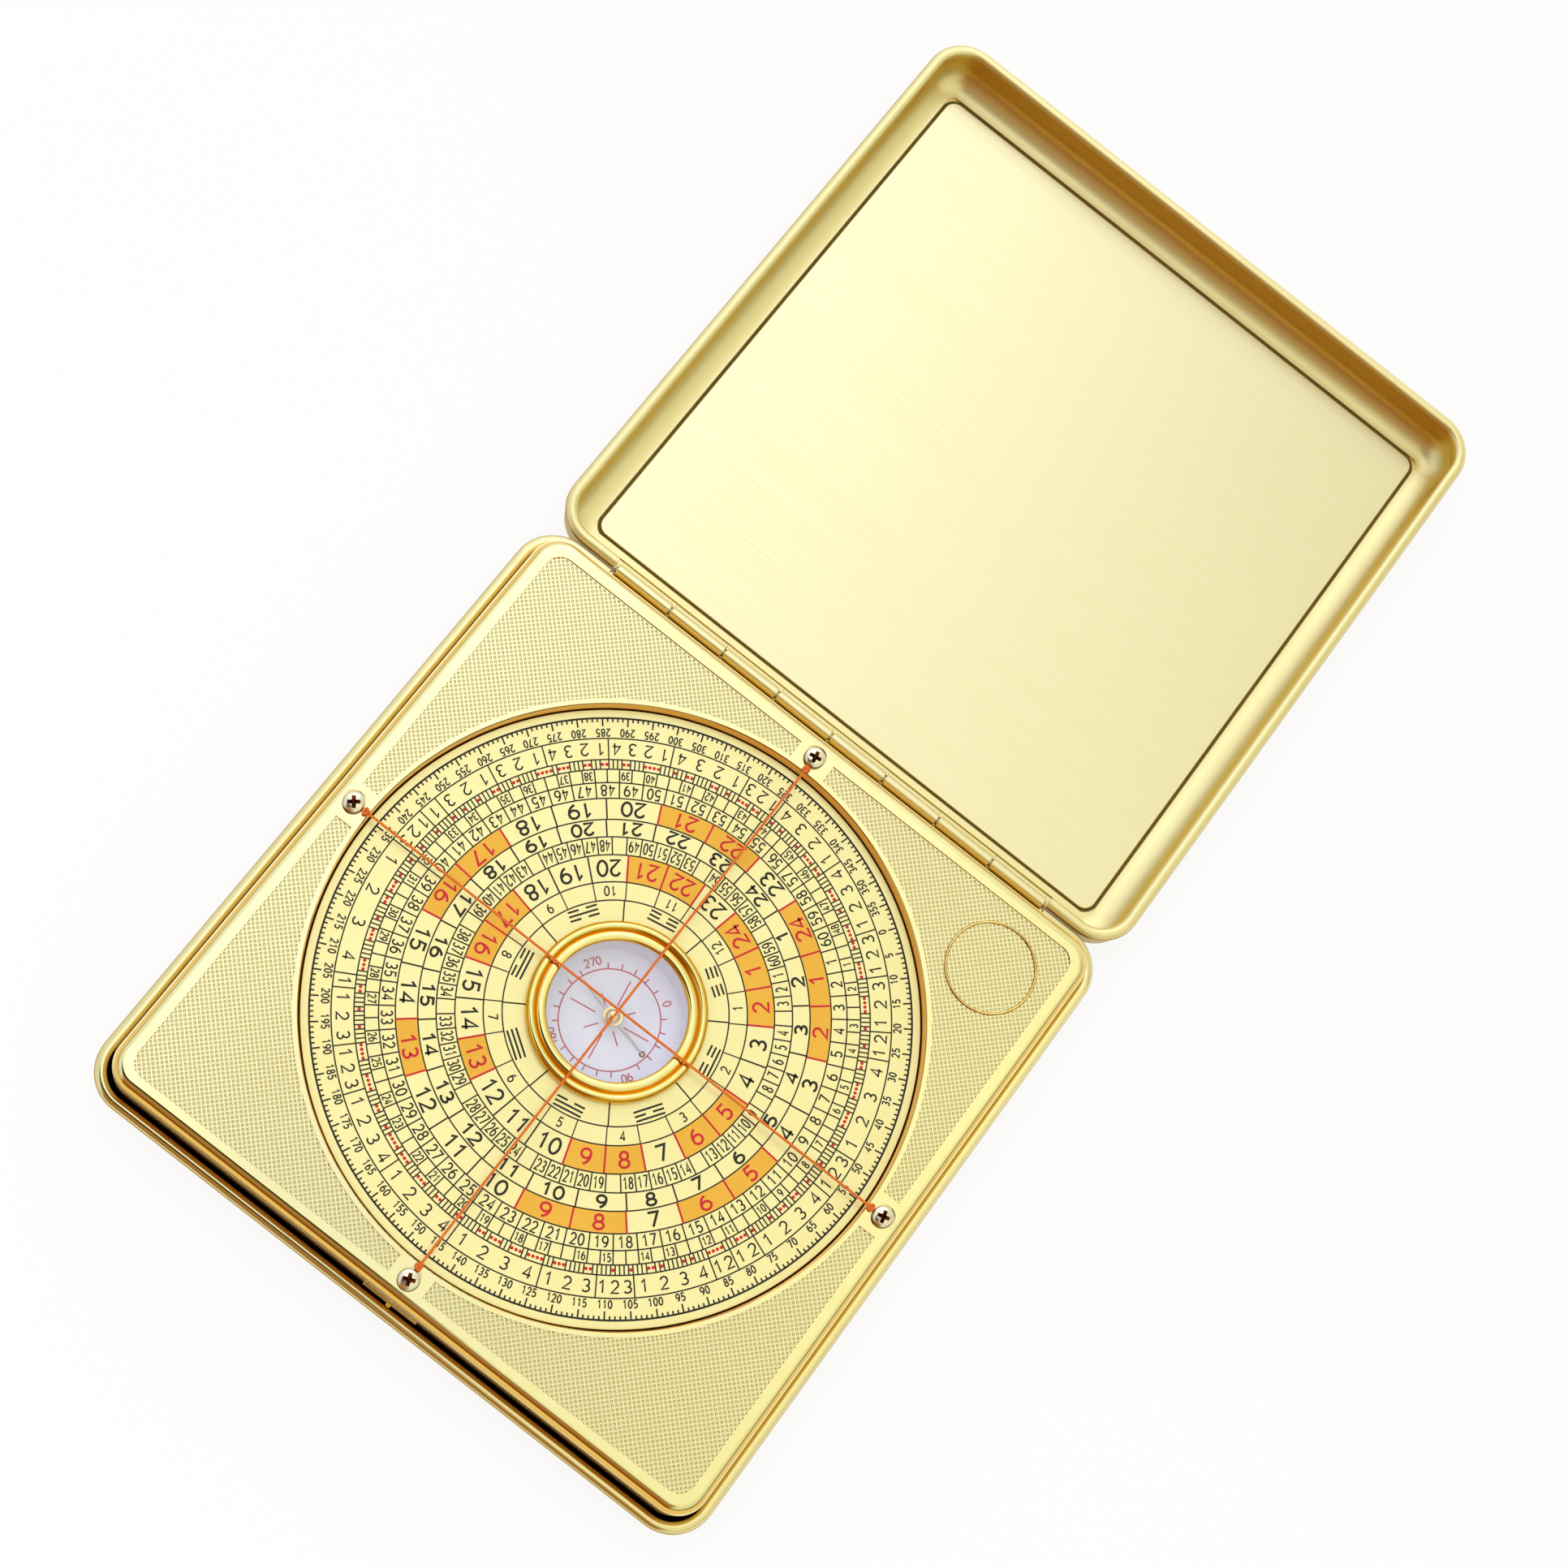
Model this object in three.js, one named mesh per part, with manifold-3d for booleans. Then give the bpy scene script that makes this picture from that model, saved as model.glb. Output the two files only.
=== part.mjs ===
// Pocket feng shui compass: a turning dial with a needle compass, in a hinged square sheet-metal case.
// Millimetres, +Z up. X runs along the hinge, +Y from the front to the hinge. The origin is the middle of
// the base's underside. The lid lies open, flat behind the base.
import * as THREE from 'three';
import { mergeVertices } from 'three/addons/utils/BufferGeometryUtils.js';
import Module from 'manifold-3d';

const wasm = await Module();
wasm.setup();

// Sheet-metal shells: base and lid are pressed alike
const caseWidth = 100;
const caseDepth = 100;
const shellHeight = 8.5;
const sheetThickness = 0.6;
const edgeBend = 4.6;
const caseCorner = 6.2;
const rimWidth = 1.2;
const rimHeight = 1.2;
const rimRound = 0.35;
const rimProud = 0.3;
const rimGap = 0.3;

// Liner plate in the lid
const linerMargin = 5.5;
const linerThickness = 0.4;
const linerCorner = 1.8;
const linerBevel = 0.1;

// Hinge
const knuckleCount = 8;
const knuckleLength = 9.14;
const knuckleGap = 0.3;
const knuckleRadius = 1;
const knuckleBore = 0.7;
const pinRadius = 0.5;
const pinStandOut = 0.45;
const leafThickness = 0.5;
const hingeClearance = 0.3;

// Square frame round the dial
const frameMargin = 2.4;
const ledgeWidth = 0.4;
const ledgeRise = 1;
const frameEdgeRound = 1;
const frameCorner = 4.2;
const frameWall = 1.5;
const frameThickness = 2.5;
const skirtClearance = 1.6;
const frameBorder = 2.4;
const fieldDepth = 0.3;
const fieldCorner = 2.4;
const openingBand = 1;
const bridgeWidth = 5.6;
const markRingRadius = 6.55;
const markRingWidth = 0.4;
const markRingInset = 11.1;
const markRingSunk = 0.05;

// Screws through the frame
const screwInset = 3.1;
const screwHeadRadius = 1.5;
const screwHeadHeight = 0.95;
const screwShankRadius = 0.75;
const screwLength = 7;
const screwHoleGap = 0.3;
const seatRadius = 1.75;
const seatDepth = 0.3;
const crossSlotWidth = 0.5;
const crossSlotLength = 1.8;
const crossSlotDepth = 0.5;

// Threads over the dial
const threadRadius = 0.2;
const knotRadius = 0.5;
const threadLift = 0.1;
const threadCrossing = 0.12;
const knotFlattening = 0.8;

// Catch at the front
const catchWidth = 8.6;
const catchHeight = 1.2;
const catchThickness = 0.4;
const nubRadius = 0.55;
const catchBelowLedge = 0.1;

// Turning dial
const dialMargin = 6.2;
const dialGap = 0.3;
const dialDrop = 2;
const dialThickness = 0.8;
const flangeOverlap = 0.9;
const flangeThickness = 1.25;
const flangeClearance = 0.3;
const turningGap = 0.3;
const closedClearance = 1.3;

// Support under the dial
const supportMargin = 5.4;
const supportThickness = 1.2;
const supportCorner = 1.4;
const lugThickness = 2.4;
const lugWidth = 6;
const railWidth = 2.4;
const railInset = 4.2;
const slipRingThickness = 0.3;
const collarThickness = 1.5;
const collarDrop = 1;
const hubClearance = 2.4;
const hubWall = 1.5;
const hubFloor = 0.7;

// Compass capsule in the middle of the dial
const cupRadius = 10.6;
const cupWall = 0.8;
const cupFloor = 0.7;
const cupStandOut = 0.1;
const cupFit = 0.3;
const cardThickness = 0.2;
const cardFit = 0.1;
const cardHole = 0.8;
const windowThickness = 0.7;
const windowInset = 0.2;
const bezelReach = 1.65;
const bezelHeight = 1.6;
const bezelLip = 1.1;
const bezelBandHeight = 1.35;
const bezelGroove = 0.3;
const bezelFit = 0.1;
const bezelBandStart = 30;

// Needle on its point
const pivotRadius = 0.45;
const pivotHeight = 3;
const pivotTaper = 1.3;
const pivotTip = 0.08;
const capBarrelRadius = 0.8;
const capFlangeRadius = 1.45;
const capDomeRadius = 1.05;
const capFlangeThickness = 0.25;
const capDomeHeight = 0.75;
const capBarrelHeight = 0.7;
const capSocketRadius = 0.55;
const capSeatGap = 0.2;
const needleReach = 6.4;
const needleWidth = 0.5;
const needleThickness = 0.2;
const needleEyeRadius = 1.4;
const needleEyeGap = 0.1;
const needleDiscRadius = 0.45;
const needleHeading = -14;

// How finely round shapes are cut
const leastCorner = 0.3;
const cornerSteps = 6;
const bendSteps = 5;
const largeRound = 72;
const middleRound = 48;
const smallRound = 16;
const tinyRound = 8;
const threadSteps = 12;
const weldDistance = 1e-5;

// Heights and reaches that follow from the sizes above
const hingeY = caseDepth / 2 + rimGap / 2;
const hingeZ = shellHeight + rimGap / 2;
const lidCentreY = hingeY + rimGap / 2 + caseDepth / 2;
const wallInset = rimProud + sheetThickness;
const knucklePitch = knuckleLength + knuckleGap;
const hingeLength = knuckleCount * knucklePitch - knuckleGap;

const frameWidth = caseWidth - 2 * frameMargin;
const frameDepth = caseDepth - 2 * frameMargin;
const frameReach = Math.min(frameWidth, frameDepth) / 2;
const closedLinerZ = 2 * hingeZ - sheetThickness - linerThickness;
const screwTop = closedLinerZ - closedClearance;
const frameTop = screwTop - screwHeadHeight + seatDepth;
const frameUnder = frameTop - frameThickness;
const ledgeTop = shellHeight + ledgeRise;
const skirtBottom = sheetThickness + skirtClearance;
const fieldInset = frameBorder;
const fieldFloor = frameTop - fieldDepth;
const openingRadius = frameReach - dialMargin + dialGap;
const screwReachX = frameWidth / 2 - screwInset;
const screwReachY = frameDepth / 2 - screwInset;

const dialRadius = openingRadius - dialGap;
const dialTop = frameTop - dialDrop;
const dialUnder = dialTop - dialThickness;
const flangeRadius = openingRadius + flangeOverlap;
const flangeUnder = dialUnder - flangeThickness;
const lugTop = frameUnder;
const slipRingTop = flangeUnder - turningGap;
const railTop = slipRingTop - slipRingThickness;
const railOuter = flangeRadius - railInset;
const supportTop = sheetThickness + supportThickness;

const wellRadius = cupRadius + cupFit;
const hubRadius = wellRadius + hubWall;
const hubBottom = supportTop + hubClearance;
const wellFloor = hubBottom + hubFloor;
const cupInner = cupRadius - cupWall;
const cardUnder = wellFloor + cupFloor;
const cardTop = cardUnder + cardThickness;
const cupTop = dialTop + cupStandOut;
const windowTop = cupTop + windowThickness;
const pivotTop = cardTop + pivotHeight;

// Turns a ring of section points [radius, z] round Z. The points run outwards along the underside and back
// along the top. They start and end on the axis, or close on themselves.
function turned(points, segments) {
  const section = points.map(([radius, z]) => new THREE.Vector2(radius, z));
  const geometry = new THREE.LatheGeometry(section, segments);
  geometry.rotateX(Math.PI / 2);
  return geometry;
}

// A ring of rectangular section between two radii and two heights.
function turnedRing(inner, outer, bottom, top, segments) {
  return turned([[inner, bottom], [outer, bottom], [outer, top], [inner, top], [inner, bottom]], segments);
}

// A plain round disc or post between two heights.
function turnedDisc(radius, bottom, top, segments) {
  return turned([[0, bottom], [radius, bottom], [radius, top], [0, top]], segments);
}

// Points on an arc about a centre in the section plane, from one angle to another in degrees.
function arcPoints(centre, radius, from, to, steps) {
  return Array.from({ length: steps + 1 }, (_, step) => {
    const angle = THREE.MathUtils.degToRad(from + ((to - from) * step) / steps);
    return [centre[0] + radius * Math.cos(angle), centre[1] + radius * Math.sin(angle)];
  });
}

// Section points over a round top, from its edge in to the axis.
function domePoints(radius, bottom, rise) {
  const arc = arcPoints([0, 0], 1, 0, 90, bendSteps);
  const edge = arc.slice(0, -1).map(([across, up]) => [across * radius, bottom + up * rise]);
  return [...edge, [0, bottom + rise]];
}

// One ring of points round a rectangle with round corners.
function roundedOutline(width, depth, corner) {
  const signs = [[1, 1], [-1, 1], [-1, -1], [1, -1]];
  return signs.flatMap(([signX, signY], quarter) => {
    const centre = [signX * (width / 2 - corner), signY * (depth / 2 - corner)];
    return arcPoints(centre, corner, quarter * 90, quarter * 90 + 90, cornerSteps);
  });
}

// Carries a section of [inset, z] points round a rectangle with round corners, and closes its first and last
// rings with flat faces. The section runs up the outside first.
function pressed(width, depth, corner, section) {
  const positions = [];
  const indices = [];
  const rings = section.map(([inset, z]) => {
    const first = positions.length / 3;
    const ringCorner = Math.max(corner - inset, leastCorner);
    const outline = roundedOutline(width - 2 * inset, depth - 2 * inset, ringCorner);
    outline.forEach(([x, y]) => positions.push(x, y, z));
    return { first, count: outline.length };
  });
  const count = rings[0].count;
  const next = (step) => (step + 1) % count;
  for (let ring = 0; ring + 1 < rings.length; ring += 1) {
    const low = rings[ring].first;
    const high = rings[ring + 1].first;
    for (let step = 0; step < count; step += 1) {
      indices.push(low + step, low + next(step), high + next(step));
      indices.push(low + step, high + next(step), high + step);
    }
  }
  const closeWith = (ring, z, upwards) => {
    const middle = positions.length / 3;
    positions.push(0, 0, z);
    for (let step = 0; step < count; step += 1) {
      const edge = [ring.first + step, ring.first + next(step)];
      indices.push(middle, ...(upwards ? edge : edge.reverse()));
    }
  };
  closeWith(rings[0], section[0][1], false);
  closeWith(rings[rings.length - 1], section[section.length - 1][1], true);
  const geometry = new THREE.BufferGeometry();
  geometry.setAttribute('position', new THREE.Float32BufferAttribute(positions, 3));
  geometry.setIndex(indices);
  return geometry;
}

// A box between two corners.
function boxBetween(low, high) {
  const size = high.map((value, axis) => value - low[axis]);
  const geometry = new THREE.BoxGeometry(...size);
  geometry.translate(...low.map((value, axis) => value + size[axis] / 2));
  return geometry;
}

// A round bar along X with its middle at a point.
function barAlongX(radius, length, centre, segments) {
  const geometry = turnedDisc(radius, -length / 2, length / 2, segments);
  geometry.rotateY(Math.PI / 2);
  geometry.translate(...centre);
  return geometry;
}

// Turns a closed geometry into a solid that can be cut and joined.
function solid(geometry) {
  const bare = geometry.clone();
  bare.deleteAttribute('normal');
  bare.deleteAttribute('uv');
  const merged = mergeVertices(bare, weldDistance);
  const corners = merged.index.array;
  const kept = [];
  for (let first = 0; first < corners.length; first += 3) {
    const [a, b, c] = corners.subarray(first, first + 3);
    if (a !== b && b !== c && c !== a) {
      kept.push(a, b, c);
    }
  }
  const vertProperties = Float32Array.from(merged.attributes.position.array);
  const triVerts = Uint32Array.from(kept);
  return new wasm.Manifold(new wasm.Mesh({ numProp: 3, vertProperties, triVerts }));
}

// Turns a cut or joined solid back into a geometry.
function shaped(cutSolid) {
  const mesh = cutSolid.getMesh();
  const geometry = new THREE.BufferGeometry();
  geometry.setAttribute('position', new THREE.BufferAttribute(mesh.vertProperties, 3));
  geometry.setIndex(new THREE.BufferAttribute(mesh.triVerts, 1));
  geometry.computeVertexNormals();
  return geometry;
}

// Joins and cuts a body with lists of other closed geometries.
function worked(body, additions, cuts) {
  const joined = additions.reduce((sum, piece) => sum.add(solid(piece)), solid(body));
  const finished = cuts.reduce((rest, piece) => rest.subtract(solid(piece)), joined);
  return shaped(finished);
}

// Finishes
function finish(color, roughness, metalness) {
  return new THREE.MeshStandardMaterial({ color, roughness, metalness });
}

const satinGold = () => finish('#cdbf78', 0.35, 1);
const brightGold = () => finish('#e3bd4e', 0.12, 1);
const brushedBrass = () => finish('#e8dba0', 0.4, 1);
const steel = () => finish('#c9cbd0', 0.25, 1);
const brass = () => finish('#d2b25a', 0.25, 1);
const redThread = () => finish('#c8402a', 0.8, 0);
const dialPaint = () => finish('#f6e79a', 0.4, 0.2);
const blackPlastic = () => finish('#2b2a28', 0.6, 0);
const whitePlastic = () => finish('#ececf2', 0.5, 0);
const clearGlass = () => new THREE.MeshStandardMaterial({
  color: '#f4f8fa', roughness: 0.05, metalness: 0, transparent: true, opacity: 0.2,
});

function piece(name, geometry, material) {
  const mesh = new THREE.Mesh(geometry, material);
  mesh.name = name;
  return mesh;
}

// The pressed tray of base and lid: flat floor, bent edge, straight wall and rolled rim
function trayShell(hingeSide) {
  const wallTop = shellHeight - rimHeight;
  const innerBend = edgeBend - sheetThickness;
  const bendCentre = [rimProud + edgeBend, edgeBend];
  const section = [
    ...arcPoints(bendCentre, edgeBend, -90, -180, bendSteps),
    [rimProud, wallTop],
    [0, wallTop + rimRound],
    [0, shellHeight - rimRound],
    [rimRound, shellHeight],
    [rimWidth - rimRound, shellHeight],
    [rimWidth, shellHeight - rimRound],
    [rimWidth, wallTop + rimRound],
    [wallInset, wallTop],
    ...arcPoints(bendCentre, innerBend, -180, -90, bendSteps),
  ];
  const tray = pressed(caseWidth, caseDepth, caseCorner, section);
  const cutLength = hingeLength + 2 * (pinStandOut + hingeClearance);
  const cutBottom = Math.min(wallTop, hingeZ - knuckleRadius - hingeClearance);
  const cutLow = [-cutLength / 2, caseDepth / 2 - rimWidth - rimGap, cutBottom];
  const cutHigh = [cutLength / 2, caseDepth / 2 + rimGap, shellHeight + rimGap];
  const hingeCut = boxBetween(cutLow, cutHigh);
  hingeCut.scale(hingeSide, hingeSide, 1);
  return worked(tray, [], [hingeCut]);
}

// A hinge leaf: a strip inside the wall, with every second knuckle rolled from it
function hingeLeaf(firstKnuckle, side) {
  const wallY = caseDepth / 2 - wallInset - hingeY;
  const stripLow = edgeBend;
  const stripTop = shellHeight - rimHeight;
  const tabTop = hingeZ - knuckleRadius + leafThickness;
  const across = (near, far) => [Math.min(side * near, side * far), Math.max(side * near, side * far)];
  const plate = (x0, x1, near, far, z0, z1) => {
    const [y0, y1] = across(near, far);
    return boxBetween([x0, hingeY + y0, z0], [x1, hingeY + y1, z1]);
  };
  const strip = plate(-hingeLength / 2, hingeLength / 2, wallY - leafThickness, wallY, stripLow, stripTop);
  const additions = [];
  for (let knuckle = firstKnuckle; knuckle < knuckleCount; knuckle += 2) {
    const x0 = -hingeLength / 2 + knuckle * knucklePitch;
    const x1 = x0 + knuckleLength;
    const centre = [(x0 + x1) / 2, hingeY, hingeZ];
    additions.push(plate(x0, x1, wallY - leafThickness, wallY, stripLow, tabTop));
    additions.push(plate(x0, x1, wallY - leafThickness, 0, tabTop - leafThickness, tabTop));
    additions.push(barAlongX(knuckleRadius, knuckleLength, centre, smallRound));
  }
  const bore = barAlongX(knuckleBore, hingeLength + 2 * rimGap, [0, hingeY, hingeZ], smallRound);
  return worked(strip, additions, [bore]);
}

function hingePin() {
  return barAlongX(pinRadius, hingeLength + 2 * pinStandOut, [0, hingeY, hingeZ], smallRound);
}

function linerPlate() {
  const top = sheetThickness + linerThickness;
  const section = [[0, sheetThickness], [0, top - linerBevel], [linerBevel, top]];
  const width = caseWidth - 2 * linerMargin;
  const depth = caseDepth - 2 * linerMargin;
  return pressed(width, depth, linerCorner, section);
}

// Each of the four screw places, at the middle of a side of the frame
const screwPlaces = {
  front: [0, -screwReachY],
  back: [0, screwReachY],
  left: [-screwReachX, 0],
  right: [screwReachX, 0],
};

function movedTo(geometry, [x, y]) {
  return geometry.translate(x, y, 0);
}

// The square frame: round opening, four sunk corner fields, plain bridges with the screw seats, a raised ring
function earthPlate() {
  const roundCentre = [ledgeWidth + frameEdgeRound, frameTop - frameEdgeRound];
  const body = pressed(frameWidth, frameDepth, frameCorner, [
    [0, skirtBottom],
    [0, ledgeTop],
    [ledgeWidth, ledgeTop],
    ...arcPoints(roundCentre, frameEdgeRound, 180, 90, bendSteps),
  ]);
  const hollowWidth = frameWidth - 2 * (ledgeWidth + frameWall);
  const hollowDepth = frameDepth - 2 * (ledgeWidth + frameWall);
  const below = skirtBottom - frameThickness;
  const above = frameTop + frameThickness;
  const hollow = pressed(hollowWidth, hollowDepth, frameCorner - frameWall, [[0, below], [0, frameUnder]]);
  const opening = turnedDisc(openingRadius, below, above, largeRound);

  const fieldWidth = frameWidth - 2 * fieldInset;
  const fieldDepthY = frameDepth - 2 * fieldInset;
  const fields = solid(pressed(fieldWidth, fieldDepthY, fieldCorner, [[0, fieldFloor], [0, above]]))
    .subtract(solid(turnedDisc(openingRadius + openingBand, below, above, largeRound)))
    .subtract(solid(boxBetween([-caseWidth, -bridgeWidth / 2, below], [caseWidth, bridgeWidth / 2, above])))
    .subtract(solid(boxBetween([-bridgeWidth / 2, -caseDepth, below], [bridgeWidth / 2, caseDepth, above])));

  const markRing = turnedRing(markRingRadius - markRingWidth, markRingRadius, fieldFloor - fieldDepth,
    frameTop - markRingSunk, middleRound);
  movedTo(markRing, [frameWidth / 2 - markRingInset, frameDepth / 2 - markRingInset]);

  const seats = Object.values(screwPlaces).flatMap((place) => [
    movedTo(turnedDisc(seatRadius, frameTop - seatDepth, above, smallRound), place),
    movedTo(turnedDisc(screwShankRadius + screwHoleGap, below, above, smallRound), place),
  ]);
  const sunk = worked(body, [], [hollow, opening, shaped(fields)]);
  return worked(sunk, [markRing], seats);
}

// A pan-head screw with a cross slot, its head in the frame's seat
function screw() {
  const headUnder = frameTop - seatDepth;
  const domeRise = screwHeadHeight / 2;
  const body = turned([
    [0, headUnder - screwLength],
    [screwShankRadius / 2, headUnder - screwLength],
    [screwShankRadius, headUnder - screwLength + screwShankRadius],
    [screwShankRadius, headUnder],
    [screwHeadRadius, headUnder],
    ...domePoints(screwHeadRadius, screwTop - domeRise, domeRise),
  ], smallRound);
  const half = crossSlotLength / 2;
  const thin = crossSlotWidth / 2;
  const floor = screwTop - crossSlotDepth;
  const above = screwTop + crossSlotDepth;
  return worked(body, [], [
    boxBetween([-half, -thin, floor], [half, thin, above]),
    boxBetween([-thin, -half, floor], [thin, half, above]),
  ]);
}

// A taut thread with a knot against the screw head at each end; it may rise over the other thread
function thread(start, end, rise) {
  const level = frameTop + threadLift + threadRadius;
  const unit = new THREE.Vector2(end[0] - start[0], end[1] - start[1]).normalize();
  const knotAway = screwHeadRadius + threadLift + knotRadius;
  const route = [
    new THREE.Vector3(start[0] + unit.x * knotAway, start[1] + unit.y * knotAway, level),
    new THREE.Vector3((start[0] + end[0]) / 2, (start[1] + end[1]) / 2, level + rise),
    new THREE.Vector3(end[0] - unit.x * knotAway, end[1] - unit.y * knotAway, level),
  ];
  const section = new THREE.Shape();
  section.absarc(0, 0, threadRadius, 0, 2 * Math.PI);
  const path = new THREE.CatmullRomCurve3(route);
  const curveSegments = tinyRound / 2;
  const strand = new THREE.ExtrudeGeometry(section, { steps: threadSteps, extrudePath: path, curveSegments });
  const knotLevel = frameTop + threadLift + knotRadius * knotFlattening;
  const knots = [route[0], route[2]].map((place) => {
    const knot = new THREE.SphereGeometry(knotRadius, smallRound, tinyRound);
    knot.scale(1, 1, knotFlattening);
    return knot.translate(place.x, place.y, knotLevel);
  });
  return worked(strand, knots, []);
}

// The catch: a leaf against the frame's front wall with a round nub in its middle
function catchSpring() {
  const wallY = -frameDepth / 2;
  const top = ledgeTop - catchBelowLedge;
  const leaf = boxBetween(
    [-catchWidth / 2, wallY - catchThickness, top - catchHeight],
    [catchWidth / 2, wallY, top],
  );
  const nub = new THREE.SphereGeometry(nubRadius, smallRound, tinyRound);
  nub.translate(0, wallY - catchThickness, top - catchHeight / 2);
  const behind = boxBetween(
    [-nubRadius, wallY, top - catchHeight],
    [nubRadius, wallY + 2 * nubRadius, top],
  );
  return worked(leaf, [nub], [behind]);
}

// The plate on the tray's floor: lugs for the screws, a rail for the dial and a collar for its hub
function supportPlate() {
  const width = caseWidth - 2 * supportMargin;
  const depth = caseDepth - 2 * supportMargin;
  const slab = pressed(width, depth, supportCorner, [[0, sheetThickness], [0, supportTop]]);
  const sunkBy = supportThickness / 2;
  const rail = turnedRing(railOuter - railWidth, railOuter, supportTop - sunkBy, railTop, largeRound);
  const collarInner = hubRadius + turningGap;
  const collar = turnedRing(collarInner, collarInner + collarThickness, supportTop - sunkBy,
    flangeUnder - collarDrop, middleRound);
  const skirtInner = ledgeWidth + frameWall + flangeClearance;
  const lugs = Object.values(screwPlaces).map(([x, y]) => {
    const alongX = x !== 0;
    const reach = (alongX ? frameWidth : frameDepth) / 2 - skirtInner;
    const [thick, wide] = [lugThickness, lugWidth / 2];
    const side = Math.sign(alongX ? x : y);
    const near = Math.min(side * reach, side * (reach - thick));
    const far = Math.max(side * reach, side * (reach - thick));
    const low = alongX ? [near, -wide] : [-wide, near];
    const high = alongX ? [far, wide] : [wide, far];
    return boxBetween([...low, supportTop - sunkBy], [...high, lugTop]);
  });
  const holeBottom = frameTop - seatDepth - screwLength - screwHoleGap;
  const holes = Object.values(screwPlaces).map((place) => (
    movedTo(turnedDisc(screwShankRadius + screwHoleGap / 2, holeBottom, frameTop, smallRound), place)
  ));
  return worked(slab, [rail, collar, ...lugs], holes);
}

function slipRing() {
  return turnedRing(railOuter - railWidth, railOuter, railTop, slipRingTop, largeRound);
}

// The dial's carrier: a flange under the frame's edge and a well for the capsule
function dialCarrier() {
  return turned([
    [0, hubBottom],
    [hubRadius, hubBottom],
    [hubRadius, flangeUnder],
    [flangeRadius, flangeUnder],
    [flangeRadius, dialUnder],
    [wellRadius, dialUnder],
    [wellRadius, wellFloor],
    [0, wellFloor],
  ], largeRound);
}

function dialPlate() {
  return turnedRing(wellRadius, dialRadius, dialUnder, dialTop, largeRound);
}

// The bezel: an outer round band, a groove and an inner band that slopes down to the window
function bezelRing() {
  const outer = cupRadius + bezelReach;
  const inner = cupRadius - bezelLip;
  const seat = cupRadius + bezelFit;
  const bandTop = dialTop + bezelHeight;
  const bandMiddle = (outer + seat) / 2;
  const bandHalf = (outer - seat) / 2;
  const grooveZ = bandTop - bezelGroove;
  const lipUnder = windowTop + bezelFit;
  return turned([
    [seat, dialTop],
    [outer, dialTop],
    [outer, bandTop - bandHalf],
    ...arcPoints([bandMiddle, bandTop - bandHalf], bandHalf, bezelBandStart, 180 - bezelBandStart, bendSteps),
    [seat - bezelGroove / 2, grooveZ],
    [seat - bezelGroove, dialTop + bezelBandHeight],
    [inner, lipUnder + bezelFit],
    [inner, lipUnder],
    [seat, lipUnder],
    [seat, dialTop],
  ], middleRound);
}

function capsuleCup() {
  return turned([
    [0, wellFloor],
    [cupRadius, wellFloor],
    [cupRadius, cupTop],
    [cupInner, cupTop],
    [cupInner, cardUnder],
    [0, cardUnder],
  ], middleRound);
}

function compassCard() {
  return turnedRing(cardHole, cupInner - cardFit, cardUnder, cardTop, middleRound);
}

function capsuleWindow() {
  return turnedDisc(cupRadius - windowInset, cupTop, windowTop, middleRound);
}

function pivotPin() {
  return turned([
    [0, cardUnder],
    [pivotRadius, cardUnder],
    [pivotRadius, pivotTop - pivotTaper],
    [pivotTip, pivotTop],
    [0, pivotTop],
  ], smallRound);
}

// The needle's cap: a barrel with a cone socket, a flange over the needle's eye and a dome
const socketTop = pivotTop + capSeatGap;
const capBottom = socketTop - capBarrelHeight;
const flangeLow = socketTop - capFlangeThickness;

function needleCap() {
  return turned([
    [0, socketTop],
    [capSocketRadius, capBottom],
    [capBarrelRadius, capBottom],
    [capBarrelRadius, flangeLow],
    [capFlangeRadius, flangeLow],
    [capFlangeRadius, socketTop],
    ...domePoints(capDomeRadius, socketTop, capDomeHeight),
  ], smallRound);
}

// The needle: a thin strip with an eye round the cap's barrel and a small disc at its marked end
function needleStrip() {
  const top = flangeLow - needleEyeGap / 2;
  const under = top - needleThickness;
  const strip = boxBetween([-needleReach, -needleWidth / 2, under], [needleReach, needleWidth / 2, top]);
  const eye = turnedDisc(needleEyeRadius, under, top, smallRound);
  const disc = turnedDisc(needleDiscRadius, under, top, smallRound).translate(needleReach, 0, 0);
  const hole = turnedDisc(capBarrelRadius + needleEyeGap, under - needleThickness, top + needleThickness,
    smallRound);
  return worked(strip, [eye, disc], [hole]);
}

// The base with all that is fixed to it
const base = new THREE.Group();
base.add(piece('base_shell', trayShell(1), satinGold()));
base.add(piece('support_plate', supportPlate(), blackPlastic()));
base.add(piece('slip_ring', slipRing(), whitePlastic()));
base.add(piece('earth_plate', earthPlate(), brightGold()));
base.add(piece('base_hinge_leaf', hingeLeaf(0, 1), satinGold()));
base.add(piece('hinge_pin', hingePin(), steel()));
base.add(piece('catch_spring', catchSpring(), brightGold()));
Object.entries(screwPlaces).forEach(([side, [x, y]]) => {
  const placed = piece(`screw_${side}`, screw(), steel());
  placed.position.set(x, y, 0);
  base.add(placed);
});
const crossingRise = 2 * threadRadius + threadCrossing;
const lowerThread = thread(screwPlaces.left, screwPlaces.right, 0);
const upperThread = thread(screwPlaces.front, screwPlaces.back, crossingRise);
base.add(piece('thread_side_to_side', lowerThread, redThread()));
base.add(piece('thread_front_to_back', upperThread, redThread()));

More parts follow.
